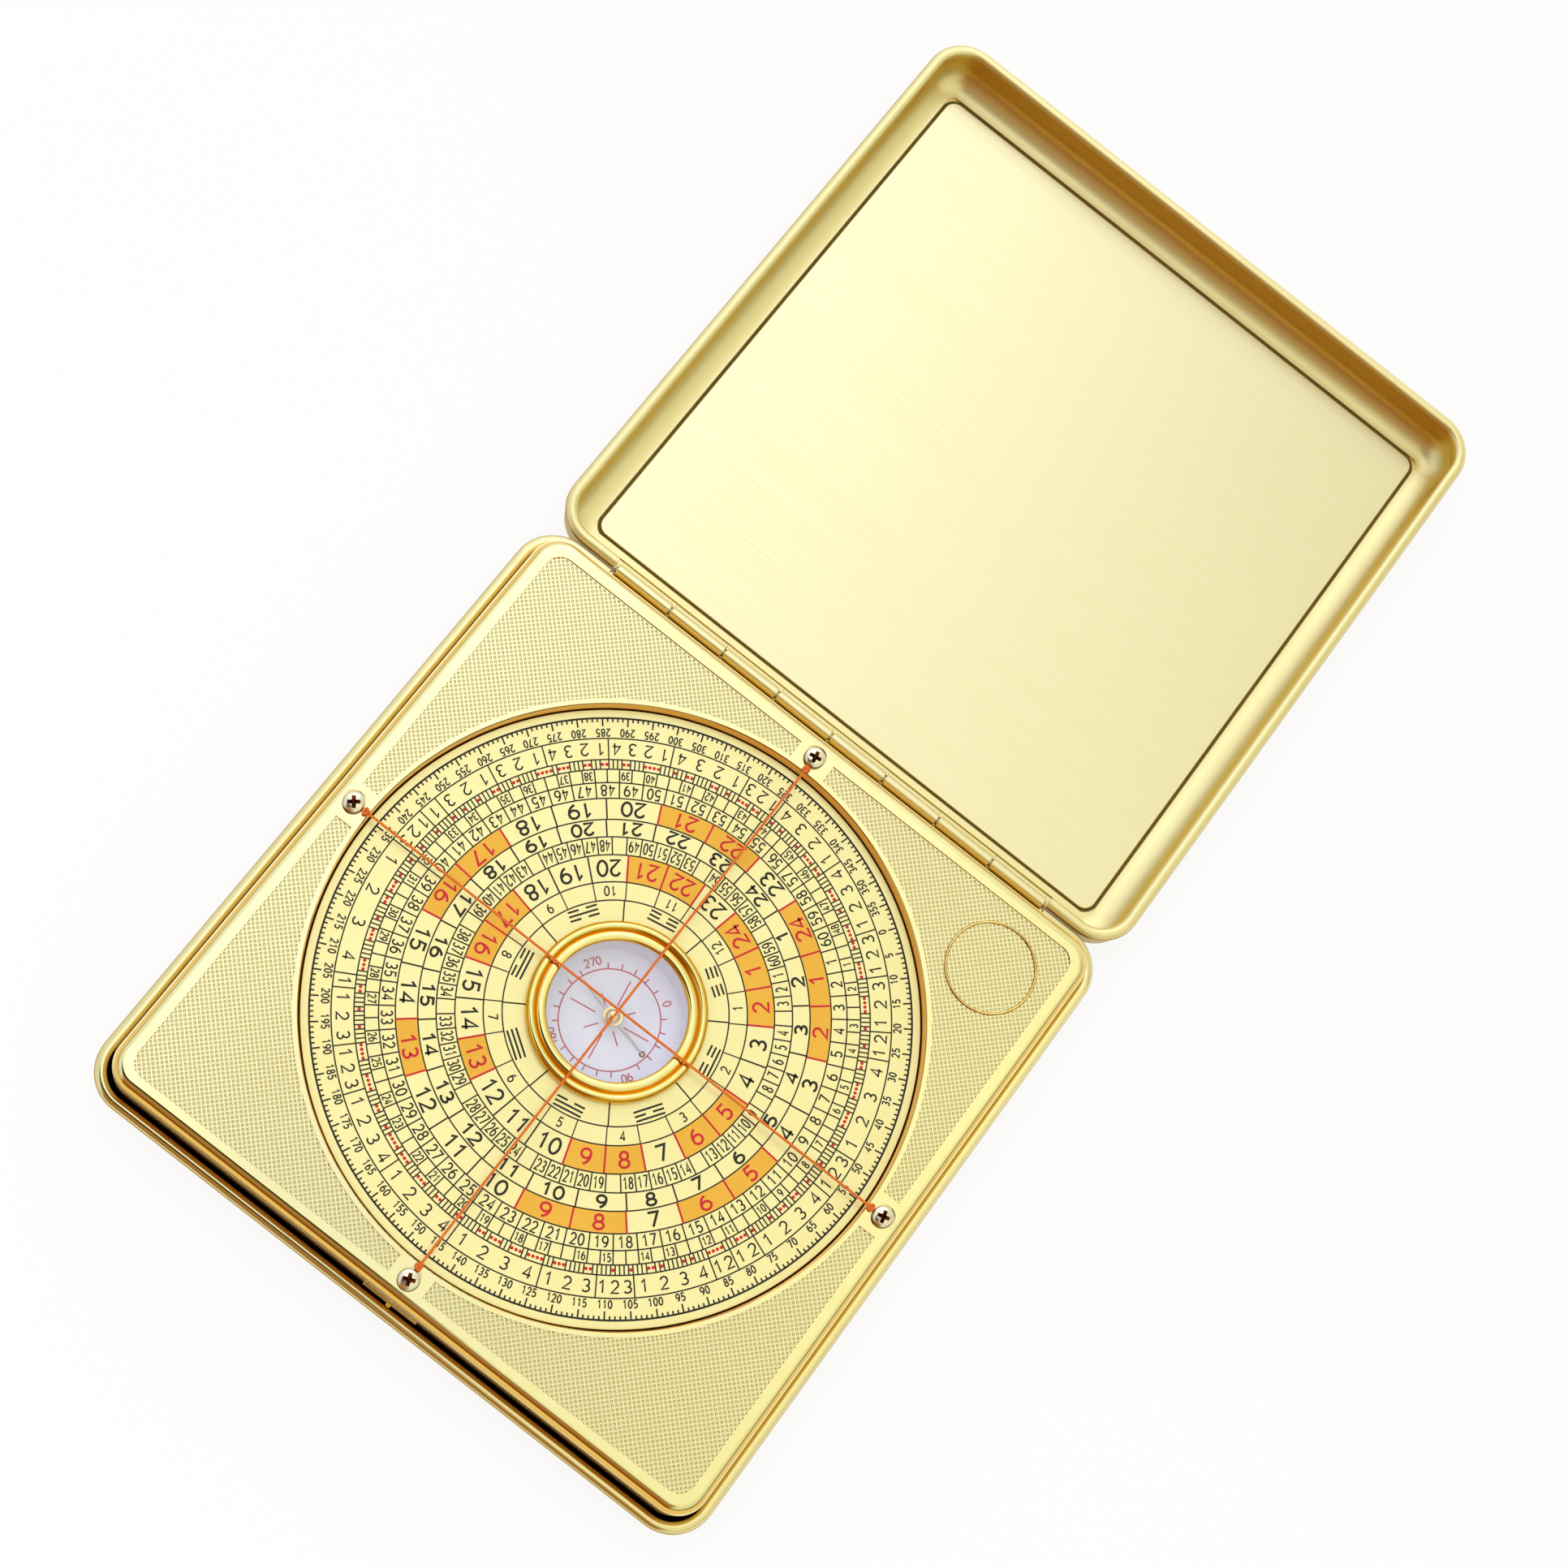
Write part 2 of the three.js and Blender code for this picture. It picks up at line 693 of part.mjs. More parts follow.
// The dial and the capsule that turns with it
const dial = new THREE.Group();
dial.add(piece('dial_carrier', dialCarrier(), blackPlastic()));
dial.add(piece('dial_plate', dialPlate(), dialPaint()));
dial.add(piece('bezel_ring', bezelRing(), brightGold()));
dial.add(piece('capsule_cup', capsuleCup(), whitePlastic()));
dial.add(piece('compass_card', compassCard(), whitePlastic()));
dial.add(piece('capsule_window', capsuleWindow(), clearGlass()));
dial.add(piece('pivot_pin', pivotPin(), steel()));

// The needle that swings on the pivot pin
const needle = new THREE.Group();
needle.rotation.z = THREE.MathUtils.degToRad(needleHeading);
needle.add(piece('needle', needleStrip(), steel()));
needle.add(piece('needle_cap', needleCap(), brass()));
dial.add(needle);

// The lid, open flat behind the hinge
const lid = new THREE.Group();
const lidTray = piece('lid_shell', trayShell(-1), satinGold());
lidTray.position.y = lidCentreY;
const liner = piece('lid_panel', linerPlate(), brushedBrass());
liner.position.y = lidCentreY;
lid.add(lidTray, liner);
lid.add(piece('lid_hinge_leaf', hingeLeaf(1, -1), satinGold()));

const compass = new THREE.Group();
compass.add(base, dial, lid);
export default compass;
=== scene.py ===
"""Looks of a pocket feng shui compass in a hinged gold case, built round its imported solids.

Sizes and places are in millimetres in the row frame. Solid writes them to Blender in metres.
"""

import logging
import math
import random
from dataclasses import dataclass, field
from enum import Enum
from functools import cache
from typing import Mapping, Optional, Sequence, Union

import bmesh
import bpy
from mathutils import Matrix, Vector


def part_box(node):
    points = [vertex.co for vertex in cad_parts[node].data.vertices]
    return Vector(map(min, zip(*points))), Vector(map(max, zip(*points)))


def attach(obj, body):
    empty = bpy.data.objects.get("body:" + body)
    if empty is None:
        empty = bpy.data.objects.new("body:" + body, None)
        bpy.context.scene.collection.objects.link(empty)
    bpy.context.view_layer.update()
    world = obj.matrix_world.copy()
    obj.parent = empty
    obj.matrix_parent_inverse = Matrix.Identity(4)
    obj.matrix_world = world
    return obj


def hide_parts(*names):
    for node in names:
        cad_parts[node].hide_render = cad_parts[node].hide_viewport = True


MM = 0.001
UP = Vector((0, 0, 1))
SQUARE = ((0, 0), (1, 0), (1, 1), (0, 1))
Pair = tuple[float, float]
Colour = tuple[float, float, float, float]
log = logging.getLogger("compass")

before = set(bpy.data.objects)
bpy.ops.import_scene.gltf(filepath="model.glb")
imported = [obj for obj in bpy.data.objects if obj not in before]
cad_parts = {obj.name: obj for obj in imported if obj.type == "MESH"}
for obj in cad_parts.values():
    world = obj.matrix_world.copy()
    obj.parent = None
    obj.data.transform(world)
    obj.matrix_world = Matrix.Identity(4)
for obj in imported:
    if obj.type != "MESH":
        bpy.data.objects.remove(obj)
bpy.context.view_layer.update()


class Body(Enum):
    """The part's bodies, as the joints move them."""

    BASE = "case_base"
    DIAL = "dial"
    NEEDLE = "needle"
    LID = "lid"


class Slot(Enum):
    """The record's material slots."""

    SHELL = "satin_gold_shell"
    PLATING = "mirror_gold_plating"
    POLISHED = "polished_gold"
    LINER = "brushed_brass"
    SCREW = "screw_steel"
    WIRE = "pin_steel"
    THREAD = "red_thread"
    DIAL = "printed_dial"
    DARK = "dark_plastic"
    WHITE = "white_plastic"
    CARD = "card_white"
    WINDOW = "clear_window"
    NEEDLE = "needle_steel"
    CAP = "cap_brass"


class Heads(Enum):
    """Which way the heads of numerals on a round scale point, as a sign along the radius."""

    INWARD = -1
    OUTWARD = 1


def tone(code: str) -> Colour:
    """Reads a colour.

    Args:
        code: Six hexadecimal digits after a hash, as a screen shows the colour.

    Returns:
        The colour in linear light, with full alpha.
    """
    parts = [int(code[first:first + 2], 16) / 255 for first in (1, 3, 5)]
    linear = [p / 12.92 if p <= 0.04045 else ((p + 0.055) / 1.055) ** 2.4 for p in parts]
    return (linear[0], linear[1], linear[2], 1.0)


def arc(centre: Pair, radii: Pair, start: float, stop: float, steps: int) -> list[Pair]:
    """Lists points along an arc of an ellipse.

    Args:
        centre: The ellipse's middle.
        radii: Its two half axes.
        start: First angle in degrees.
        stop: Last angle in degrees.
        steps: Stretches between the points.

    Returns:
        One point more than the steps.
    """
    angles = [math.radians(start + (stop - start) * step / steps) for step in range(steps + 1)]
    return [(centre[0] + radii[0] * math.cos(a), centre[1] + radii[1] * math.sin(a)) for a in angles]


def at_height(outline: Sequence[Pair], z: float) -> list[Vector]:
    """Puts a flat outline at a height."""
    return [Vector((x, y, z)) for x, y in outline]


class Wire:
    """An output socket of a node, with operators that add Math nodes."""

    def __init__(self, graph: "Graph", socket: bpy.types.NodeSocket) -> None:
        """Keeps the graph and the socket."""
        self.graph = graph
        self.socket = socket

    def math(self, operation: str, *values: "Source") -> "Wire":
        """Adds a Math node with its values in order."""
        return self.graph.node("ShaderNodeMath", {"operation": operation}, dict(enumerate(values)))

    def __abs__(self) -> "Wire":
        """Drops the sign."""
        return self.math("ABSOLUTE", self)

    def __add__(self, other: "Source") -> "Wire":
        """Adds a value."""
        return self.math("ADD", self, other)

    __radd__ = __add__

    def __mul__(self, other: "Source") -> "Wire":
        """Multiplies by a value."""
        return self.math("MULTIPLY", self, other)

    __rmul__ = __mul__

    def __sub__(self, other: "Source") -> "Wire":
        """Takes a value away."""
        return self.math("SUBTRACT", self, other)

    def __rsub__(self, other: "Source") -> "Wire":
        """Takes itself from a value."""
        return self.math("SUBTRACT", other, self)

    def between(self, low: float, high: float) -> "Wire":
        """Keeps the value between two limits."""
        return self.math("MAXIMUM", self.math("MINIMUM", self, high), low)

    def rise(self, low: float, high: float) -> "Wire":
        """Goes smoothly from 0 at the low value to 1 at the high one."""
        settings = {"interpolation_type": "SMOOTHSTEP"}
        return self.graph.node("ShaderNodeMapRange", settings, {0: self, 1: low, 2: high})


Source = Union[Wire, float, int, Sequence[float]]


class Graph:
    """The node tree of a material or of the world."""

    def __init__(self, tree: bpy.types.NodeTree) -> None:
        """Empties the tree and keeps it."""
        self.tree = tree
        tree.nodes.clear()

    def node(self, kind: str, settings: Optional[Mapping[str, object]] = None,
             sockets: Optional[Mapping[Union[int, str], Source]] = None,
             output: Union[int, str] = 0) -> Wire:
        """Adds a node.

        Args:
            kind: The node's type.
            settings: Its own properties, which are set first.
            sockets: Values or links of its inputs, by place or name.
            output: The output to hand on, by place or name.

        Returns:
            That output.
        """
        made = self.tree.nodes.new(kind)
        for name, value in (settings or {}).items():
            setattr(made, name, value)
        for key, value in (sockets or {}).items():
            if isinstance(value, Wire):
                self.tree.links.new(value.socket, made.inputs[key])
            else:
                made.inputs[key].default_value = value
        return Wire(self, made.outputs[output])

    def close(self, kind: str, shader: Wire) -> None:
        """Ends the tree with an output node of a kind that shows a shader."""
        made = self.tree.nodes.new(kind)
        self.tree.links.new(shader.socket, made.inputs["Surface"])

    def mix(self, factor: Source, first: Source, second: Source) -> Wire:
        """Mixes two colours by the share of the second."""
        return self.node("ShaderNodeMix", {"data_type": "RGBA"}, {0: factor, 6: first, 7: second}, 2)

    def coordinate(self, kind: str) -> Wire:
        """Gives the shaded point's coordinate of a kind."""
        return self.node("ShaderNodeTexCoord", output=kind)

    def parts(self, vector: Wire, axes: str) -> list[Wire]:
        """Gives a vector's parts along the axes named."""
        return [self.node("ShaderNodeSeparateXYZ", None, {0: vector}, axis) for axis in axes]

    def noise(self, scale: Sequence[float], detail: float = 2.0) -> Wire:
        """Adds soft noise.

        Args:
            scale: Cells per millimetre along each axis.
            detail: How many finer layers it has.

        Returns:
            The noise, from 0 to 1.
        """
        sockets = {0: self.coordinate("Object"), 1: [value / MM for value in scale]}
        place = self.node("ShaderNodeVectorMath", {"operation": "MULTIPLY"}, sockets)
        return self.node("ShaderNodeTexNoise", None, {"Vector": place, "Scale": 1.0, "Detail": detail})

    def bump(self, height: Wire, depth: float) -> Wire:
        """Gives the normal of a surface that rises by a depth in millimetres where the height is 1."""
        return self.node("ShaderNodeBump", None, {"Height": height, "Strength": 1.0, "Distance": depth * MM})


@dataclass(frozen=True)
class Finish:
    """What every finish has: a name, the record's slot and two tones."""

    name: str
    slot: Slot
    fresh: str
    worn: str
    roughness: float = 0.4
    spread: float = 0.1
    grain: tuple[float, float, float] = (3.0, 3.0, 3.0)
    relief: float = 0.002

    @cache
    def material(self) -> bpy.types.Material:
        """Makes the finish's material, once.

        Returns:
            The material.
        """
        made = bpy.data.materials.new(f"finish_{self.name}")
        made.use_nodes = True
        graph = Graph(made.node_tree)
        graph.close("ShaderNodeOutputMaterial", self.surface(graph))
        return made

    def tint(self, graph: Graph, share: Source) -> Wire:
        """Mixes the fresh and the worn tone by the worn one's share."""
        return graph.mix(share, tone(self.fresh), tone(self.worn))

    def shader(self, graph: Graph, colour: Source, rough: Source, normal: Source, **fixed: Source) -> Wire:
        """Adds the surface shader.

        Args:
            graph: The material's nodes.
            colour: Base colour.
            rough: Roughness.
            normal: Normal.
            fixed: Other sockets' values, with underscores for spaces.

        Returns:
            The shader's output.
        """
        sockets = {name.replace("_", " "): value for name, value in fixed.items()}
        sockets.update({"Base Color": colour, "Roughness": rough, "Normal": normal})
        return graph.node("ShaderNodeBsdfPrincipled", None, sockets)

    def surface(self, graph: Graph) -> Wire:
        """Builds the nodes up to the shader in the material's empty graph."""
        raise NotImplementedError


@dataclass(frozen=True)
class Metal(Finish):
    """Bare or plated metal: grain, smudges, worn edges, and painted shade and reflection: darker, deeper
    tones on steep, upright and outward-looking faces.
    """

    # Painted shade and reflection: the tone that steep faces take, over the slope range in steep.
    deep: str = "#e0a030"
    steep: Pair = (0.3, 0.95)
    # Painted shade and reflection: upright and outward are darker tones for upright walls, inside and outside
    # rim_start.
    upright: str = ""
    outward: str = ""
    wall_rough: float = 0.0
    # Painted shade: a darker tone for steep faces that look away from the case's middle.
    outside: str = ""
    middle: float = 0.0
    cloud: float = 0.3
    rim_start: float = 45.0
    smudge_scale: float = 0.05
    patches: Pair = (0.35, 0.7)
    wall_slope: Pair = (0.8, 0.96)
    edge_bend: Pair = (0.51, 0.6)
    edge_wear: float = 0.2
    edge_tone: str = "#fffbe2"

    def looks_out(self, graph: Graph, facing: Wire) -> Wire:
        """Finds the faces that look away from the middle of the case.

        Args:
            graph: The material's nodes.
            facing: The surface's normal on its piece.

        Returns:
            1 where a face looks out, 0 where it looks in.
        """
        sockets = {0: graph.coordinate("Object"), 1: (1, 1, 0), 2: (0, -self.middle * MM, 0)}
        away = graph.node("ShaderNodeVectorMath", {"operation": "MULTIPLY_ADD"}, sockets)
        sockets = {0: facing, 1: away}
        share = graph.node("ShaderNodeVectorMath", {"operation": "DOT_PRODUCT"}, sockets, "Value")
        return share.rise(0, 0.01)

    def surface(self, graph: Graph) -> Wire:
        """Builds grain, smudges, worn edges, and the painted shade and reflection tones of steep, upright and
        outward-looking faces.

        Args:
            graph: The material's empty nodes.

        Returns:
            The shader's output.
        """
        grain = graph.noise(self.grain, 3.0)
        smudge = graph.noise((self.smudge_scale,) * 3, 4.0)
        facing = graph.coordinate("Normal")
        slope = 1 - abs(graph.parts(facing, "Z")[0])
        slant, wall = slope.rise(*self.steep), slope.rise(*self.wall_slope)
        edge = graph.node("ShaderNodeNewGeometry", output="Pointiness").rise(*self.edge_bend)
        mottle = (1 - self.cloud) * grain + self.cloud * smudge
        # Painted shade and reflection: steep faces take the darker, deeper slope tone.
        colour = graph.mix(slant, self.tint(graph, mottle.rise(*self.patches)), tone(self.deep))
        rough = self.roughness + self.spread * (0.6 * grain + 0.9 * smudge - 0.75)
        # Painted shade and reflection: upright walls take darker tones, the inner walls one and the outer
        # walls another.
        if self.upright:
            x, y = graph.parts(graph.coordinate("Object"), "XY")
            reach = x.math("MAXIMUM", abs(x), abs(y))
            outer = reach.rise(self.rim_start * MM, (self.rim_start + 1) * MM)
            colour = graph.mix(wall, colour, graph.mix(outer, tone(self.upright), tone(self.outward)))
            rough = rough + self.wall_rough * wall * outer
        # Painted shade: steep faces that look out from the case take the darker outside tone.
        if self.outside:
            colour = graph.mix(slant * self.looks_out(graph, facing), colour, tone(self.outside))
        colour = graph.mix(edge * self.edge_wear, colour, tone(self.edge_tone))
        normal = graph.bump(grain, self.relief)
        return self.shader(graph, colour, rough.between(0.02, 1), normal, Metallic=1.0)


@dataclass(frozen=True)
class Lacquer(Finish):
    """Paint, ink, card or moulded plastic: a mottled colour under a soft gloss."""

    metallic: float = 0.0
    specular: float = 0.4
    cloud_scale: float = 0.12

    def surface(self, graph: Graph) -> Wire:
        """Builds mottling and fine grain.

        Args:
            graph: The material's empty nodes.

        Returns:
            The shader's output.
        """
        grain = graph.noise(self.grain, 3.0)
        cloud = graph.noise((self.cloud_scale,) * 3, 4.0)
        colour = self.tint(graph, (0.45 * grain + 0.55 * cloud).rise(0.3, 0.75))
        rough = (self.roughness + self.spread * (grain + cloud - 1)).between(0.02, 1)
        fixed = {"Metallic": self.metallic, "Specular_IOR_Level": self.specular}
        return self.shader(graph, colour, rough, graph.bump(grain, self.relief), **fixed)


@dataclass(frozen=True)
class Yarn(Finish):
    """Spun thread: fibres that run along the strand, with a soft sheen."""

    def surface(self, graph: Graph) -> Wire:
        """Builds the fibres.

        Args:
            graph: The material's empty nodes.

        Returns:
            The shader's output.
        """
        fibre = graph.noise(self.grain, 4.0)
        rough = self.roughness + self.spread * (fibre - 0.5)
        colour, normal = self.tint(graph, fibre.rise(0.3, 0.7)), graph.bump(fibre, self.relief)
        return self.shader(graph, colour, rough, normal, Sheen_Weight=0.3)


@dataclass(frozen=True)
class Clear(Finish):
    """A clear polished window with the faintest haze."""

    clear: float = 0.035
    glance: float = 0.5

    def surface(self, graph: Graph) -> Wire:
        """Builds a thin gloss that grows at a glance and lets the rest through.

        Args:
            graph: The material's empty nodes.

        Returns:
            The shader's output.
        """
        haze = graph.noise(self.grain)
        rough = self.roughness + self.spread * haze
        turned = graph.node("ShaderNodeLayerWeight", None, {"Blend": 0.5}, "Facing")
        gloss = self.clear + self.glance * turned.math("POWER", turned, 5.0)
        normal = graph.bump(haze, self.relief)
        return self.shader(graph, self.tint(graph, haze), rough, normal, Metallic=1.0, Alpha=gloss)


# In each metal below, the tone after the relief is the painted shade and reflection that steep faces take;
# TRAY and PLATED then give painted shade tones for upright walls inside and outside, and SATIN and TRAY one
# for faces that look out.
SATIN = Metal(
    "satin_gold", Slot.SHELL, "#fdf3bc", "#f8eaaa", 0.36, 0.1, (9, 9, 9), 0.0004, "#f0d070", (0.1, 0.6),
    outside="#b8983e", middle=100.3)
TRAY = Metal(
    "tray_gold", Slot.SHELL, "#fdf3bc", "#f8eaaa", 0.13, 0.08, (9, 9, 9), 0.0004, "#927830", (0.1, 0.6),
    "#986622", "#986622", 0.3, "#b8983e")
LEAF = Metal(
    "hinge_gold", Slot.SHELL, "#fdf3bc", "#f8eaaa", 0.28, 0.08, (2, 9, 9), 0.0004, "#ffec94", (0.1, 0.6))
PLATED = Metal(
    "mirror_gold", Slot.PLATING, "#fff9c0", "#fff6b6", 0.06, 0.06, (0.4, 0.4, 0.4), 0.003,
    "#eebc4c", (0.03, 0.4), "#dc9c2c", "#dcb048", 0.2)
# Painted shade: its steep-face tone darkens the walls of the weave's pits.
WOVEN = Metal(
    "woven_gold", Slot.PLATING, "#f8f1c2", "#f5edb2", 0.2, 0.1, (4, 4, 4), 0.002, "#beb04a", (0.01, 0.09))
RAISED = Metal(
    "ring_gold", Slot.PLATING, "#fbe28a", "#f0cf66", 0.1, 0.06, (2, 2, 2), 0.002, "#b07818", (0.02, 0.3))
POLISHED = Metal(
    "polished_gold", Slot.POLISHED, "#fff6b0", "#ffeb90", 0.05, 0.05, (0.5, 0.5, 0.5), 0.003,
    "#f0b828", (0.01, 0.16))
LINER = Metal(
    "brushed_liner", Slot.LINER, "#f7f1c8", "#f5ecbe", 0.26, 0.1, (0.02, 5, 5), 0.0006, "#c89030", cloud=0.1)
# Painted shade: its steep-face tone darkens the walls of the cross recess.
SCREW = Metal(
    "screw_gold", Slot.SCREW, "#fffbe6", "#fbf2d0", 0.2, 0.08, (4, 4, 4), 0.001, "#a0682e", (0.2, 0.36))
WIRE = Metal("pin_steel", Slot.WIRE, "#a8a6a0", "#8c8a84", 0.2, 0.1, (0.3, 7, 7), 0.001, "#66645e")
BLADE = Metal("needle_steel", Slot.NEEDLE, "#c4c6ce", "#aeb0b8", 0.3, 0.1, (5, 5, 5), 0.001, "#5c5e66")
BRASS = Metal("cap_brass", Slot.CAP, "#fff0c8", "#f8e2ac", 0.16, 0.08, (6, 6, 6), 0.001, "#e0bc74")
GROUND = Lacquer("dial_ground", Slot.DIAL, "#f7f0b0", "#f5eba6", 0.32, 0.08, (5, 5, 5), 0.0015, 0.45)
BLACK_INK = Lacquer("black_ink", Slot.DIAL, "#1b1a16", "#282620", 0.45, 0.1, (6, 6, 6), 0.001)
RED_INK = Lacquer("red_ink", Slot.DIAL, "#cf2230", "#bb1c2c", 0.45, 0.1, (6, 6, 6), 0.001)
ORANGE_INK = Lacquer("orange_ink", Slot.DIAL, "#ecb63e", "#e4ab32", 0.45, 0.1, (5, 5, 5), 0.001)
CARD = Lacquer("card_white", Slot.CARD, "#edeffe", "#e6e8f8", 0.55, 0.1, (5, 5, 5), 0.001)
CARD_INK = Lacquer("card_ink", Slot.CARD, "#c8606a", "#bb5560", 0.55, 0.1, (6, 6, 6), 0.001)
DARK = Lacquer("dark_plastic", Slot.DARK, "#242422", "#1b1b1a", 0.5, 0.15, (4, 4, 4), 0.004)
WHITE = Lacquer("white_plastic", Slot.WHITE, "#eef0fa", "#e6e8f4", 0.4, 0.15, (4, 4, 4), 0.002)
# Painted shade: a dark olive tone for the strip laid in the gap round the lid's liner.
GAP_SHADE = Lacquer("gap_shade_line", Slot.LINER, "#6c5c22", "#56481a", 0.6, 0.1, (5, 5, 5), 0.002)
MARK = Lacquer("needle_mark", Slot.NEEDLE, "#8c4a3c", "#7a3c30", 0.4, 0.1, (6, 6, 6), 0.001)
THREAD = Yarn("red_thread", Slot.THREAD, "#ee7c18", "#d0620c", 0.75, 0.2, (5, 5, 5), 0.02)
WINDOW = Clear("clear_window", Slot.WINDOW, "#ffffff", "#fbfcff", 0.02, 0.02, (0.3, 0.3, 0.3), 0.0005)


@dataclass(frozen=True)
class NodeBox:
    """A solid's box at rest, in millimetres."""

    low: Vector
    high: Vector

    @classmethod
    def of(cls, node: str) -> "NodeBox":
        """Reads the box of one of the frame's nodes."""
        low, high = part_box(node)
        return cls(low / MM, high / MM)

    @property
    def centre(self) -> Vector:
        """The box's middle."""
        return (self.low + self.high) / 2

    @property
    def reach(self) -> float:
        """Half the box's width along X."""
        return (self.high.x - self.low.x) / 2

    @property
    def span(self) -> tuple[float, float, float]:
        """Half the box's width along X, its lowest and its highest level."""
        return self.reach, self.low.z, self.high.z


class Solid:
    """Closed bodies in millimetres, gathered to become one piece."""

    weld_reach = 1e-4
    sliver = 1e-5
    least_corner = 0.2

    def __init__(self) -> None:
        """Starts with nothing."""
        self.points: list[Vector] = []
        self.faces: list[tuple[int, ...]] = []

    def add(self, points: Sequence[Vector], faces: Sequence[Sequence[int]]) -> "Solid":
        """Adds a body.

        Args:
            points: Its points.
            faces: Its faces, as numbers of those points.

        Returns:
            Itself.
        """
        first = len(self.points)
        self.points.extend(points)
        self.faces.extend(tuple(first + corner for corner in face) for face in faces)
        return self

    def skin(self, rings: Sequence[Sequence[Vector]], joined: bool = False, capped: bool = True) -> "Solid":
        """Adds a skin over rings of equal counts.

        Args:
            rings: Closed rings of points.
            joined: Whether the last ring meets the first again.
            capped: Whether open ends get flat faces.

        Returns:
            Itself.
        """
        count = len(rings[0])
        faces: list[tuple[int, ...]] = []
        for ring in range(len(rings) if joined else len(rings) - 1):
            low, high = ring * count, (ring + 1) % len(rings) * count
            for step in range(count):
                after = (step + 1) % count
                faces.append((low + step, low + after, high + after, high + step))
        if capped and not joined:
            faces.append(tuple(reversed(range(count))))
            faces.append(tuple(range((len(rings) - 1) * count, len(rings) * count)))
        return self.add([point for ring in rings for point in ring], faces)

    def turned(self, section: Sequence[Pair], steps: int, joined: bool = False) -> "Solid":
        """Adds a section of radius and height turned round Z.

        Args:
            section: Points from the axis round to the axis, or a closed loop.
            steps: Sides of the round.
            joined: Whether the section is a loop.

        Returns:
            Itself.
        """
        turns = [2 * math.pi * step / steps for step in range(steps)]
        rings = [[Vector((r * math.cos(a), r * math.sin(a), z)) for a in turns] for r, z in section]
        return self.skin(rings, joined, capped=False)

    def bore(self, section: Sequence[Pair], low: float, high: float, steps: int) -> "Solid":
        """Adds a round cutter.

        Args:
            section: Its radii and heights from below.
            low: Height of its lower end.
            high: Height of its upper end.
            steps: Sides of the round.

        Returns:
            Itself.
        """
        first, last = section[0][0], section[-1][0]
        return self.turned([(0, low), (first, low), *section, (last, high), (0, high)], steps)

    def pressed(self, reach: float, corner: float, section: Sequence[Pair], steps: int = 14) -> "Solid":
        """Adds a section carried round a square with round corners.

        Args:
            reach: Half the square's side.
            corner: Its corner radius.
            section: Points of inset and height; the first and last rings get flat faces.
            steps: Stretches in each corner.

        Returns:
            Itself.
        """
        rings = []
        for inset, z in section:
            turn = max(corner - inset, self.least_corner)
            middle = reach - inset - turn
            ring = []
            for quarter, (sx, sy) in enumerate(((1, 1), (-1, 1), (-1, -1), (1, -1))):
                start = 90 * quarter
                ring += arc((sx * middle, sy * middle), (turn, turn), start, start + 90, steps)
            rings.append(at_height(ring, z))
        return self.skin(rings)

    def block(self, low: Sequence[float], high: Sequence[float], bevel: float = 0.0) -> "Solid":
        """Adds a box.

        Args:
            low: Its lowest corner.
            high: Its highest corner.
            bevel: Bevel of its top and bottom edges.

        Returns:
            Itself.
        """
        rings = []
        for inset, z in ((bevel, low[2]), (0, low[2] + bevel), (0, high[2] - bevel), (bevel, high[2])):
            x, y = ((low[axis] + inset, high[axis] - inset) for axis in (0, 1))
            rings.append(at_height([(x[s], y[t]) for s, t in SQUARE], z))
        return self.skin(rings if bevel else rings[1:3])

    def tube(self, path: Sequence[Vector], radius: float, sides: int, joined: bool = False) -> "Solid":
        """Adds a round tube along a path.

        Args:
            path: Points of its middle line.
            radius: Its radius.
            sides: Sides of its section.
            joined: Whether the path closes on itself.

        Returns:
            Itself.
        """
        rings = []
        across = UP
        turns = [2 * math.pi * side / sides for side in range(sides)]
        for spot, point in enumerate(path):
            ahead = path[(spot + 1) % len(path)] if joined else path[min(spot + 1, len(path) - 1)]
            along = (ahead - path[spot - 1 if joined or spot else 0]).normalized()
            across = (across - along * across.dot(along)).normalized()
            other = along.cross(across)
            rings.append([point + radius * (math.cos(a) * across + math.sin(a) * other) for a in turns])
        return self.skin(rings, joined)

    def moved(self, matrix: Matrix) -> "Solid":
        """Moves all its points by a matrix; returns itself."""
        self.points = [matrix @ point for point in self.points]
        return self

    def at(self, x: float, y: float, z: float = 0.0) -> "Solid":
        """Moves it along the axes; returns itself."""
        return self.moved(Matrix.Translation((x, y, z)))

    def spun(self, degrees: float) -> "Solid":
        """Turns it round Z; returns itself."""
        return self.moved(Matrix.Rotation(math.radians(degrees), 4, "Z"))

    def join(self, other: "Solid") -> "Solid":
        """Takes in another's bodies; returns itself."""
        return self.add(other.points, other.faces)

    def mesh(self, name: str, scale: float, weld: bool) -> bpy.types.Mesh:
        """Makes a mesh with outward faces.

        Args:
            name: The mesh's name.
            scale: Blender's units per millimetre.
            weld: Whether points that coincide become one.

        Returns:
            The mesh.
        """
        made = bpy.data.meshes.new(name)
        made.from_pydata([point * scale for point in self.points], [], self.faces)
        work = bmesh.new()
        work.from_mesh(made)
        if weld:
            bmesh.ops.remove_doubles(work, verts=work.verts, dist=self.weld_reach * scale)
            bmesh.ops.dissolve_degenerate(work, edges=work.edges, dist=self.sliver * scale)
        bmesh.ops.recalc_face_normals(work, faces=work.faces)
        work.to_mesh(made)
        work.free()
        return made

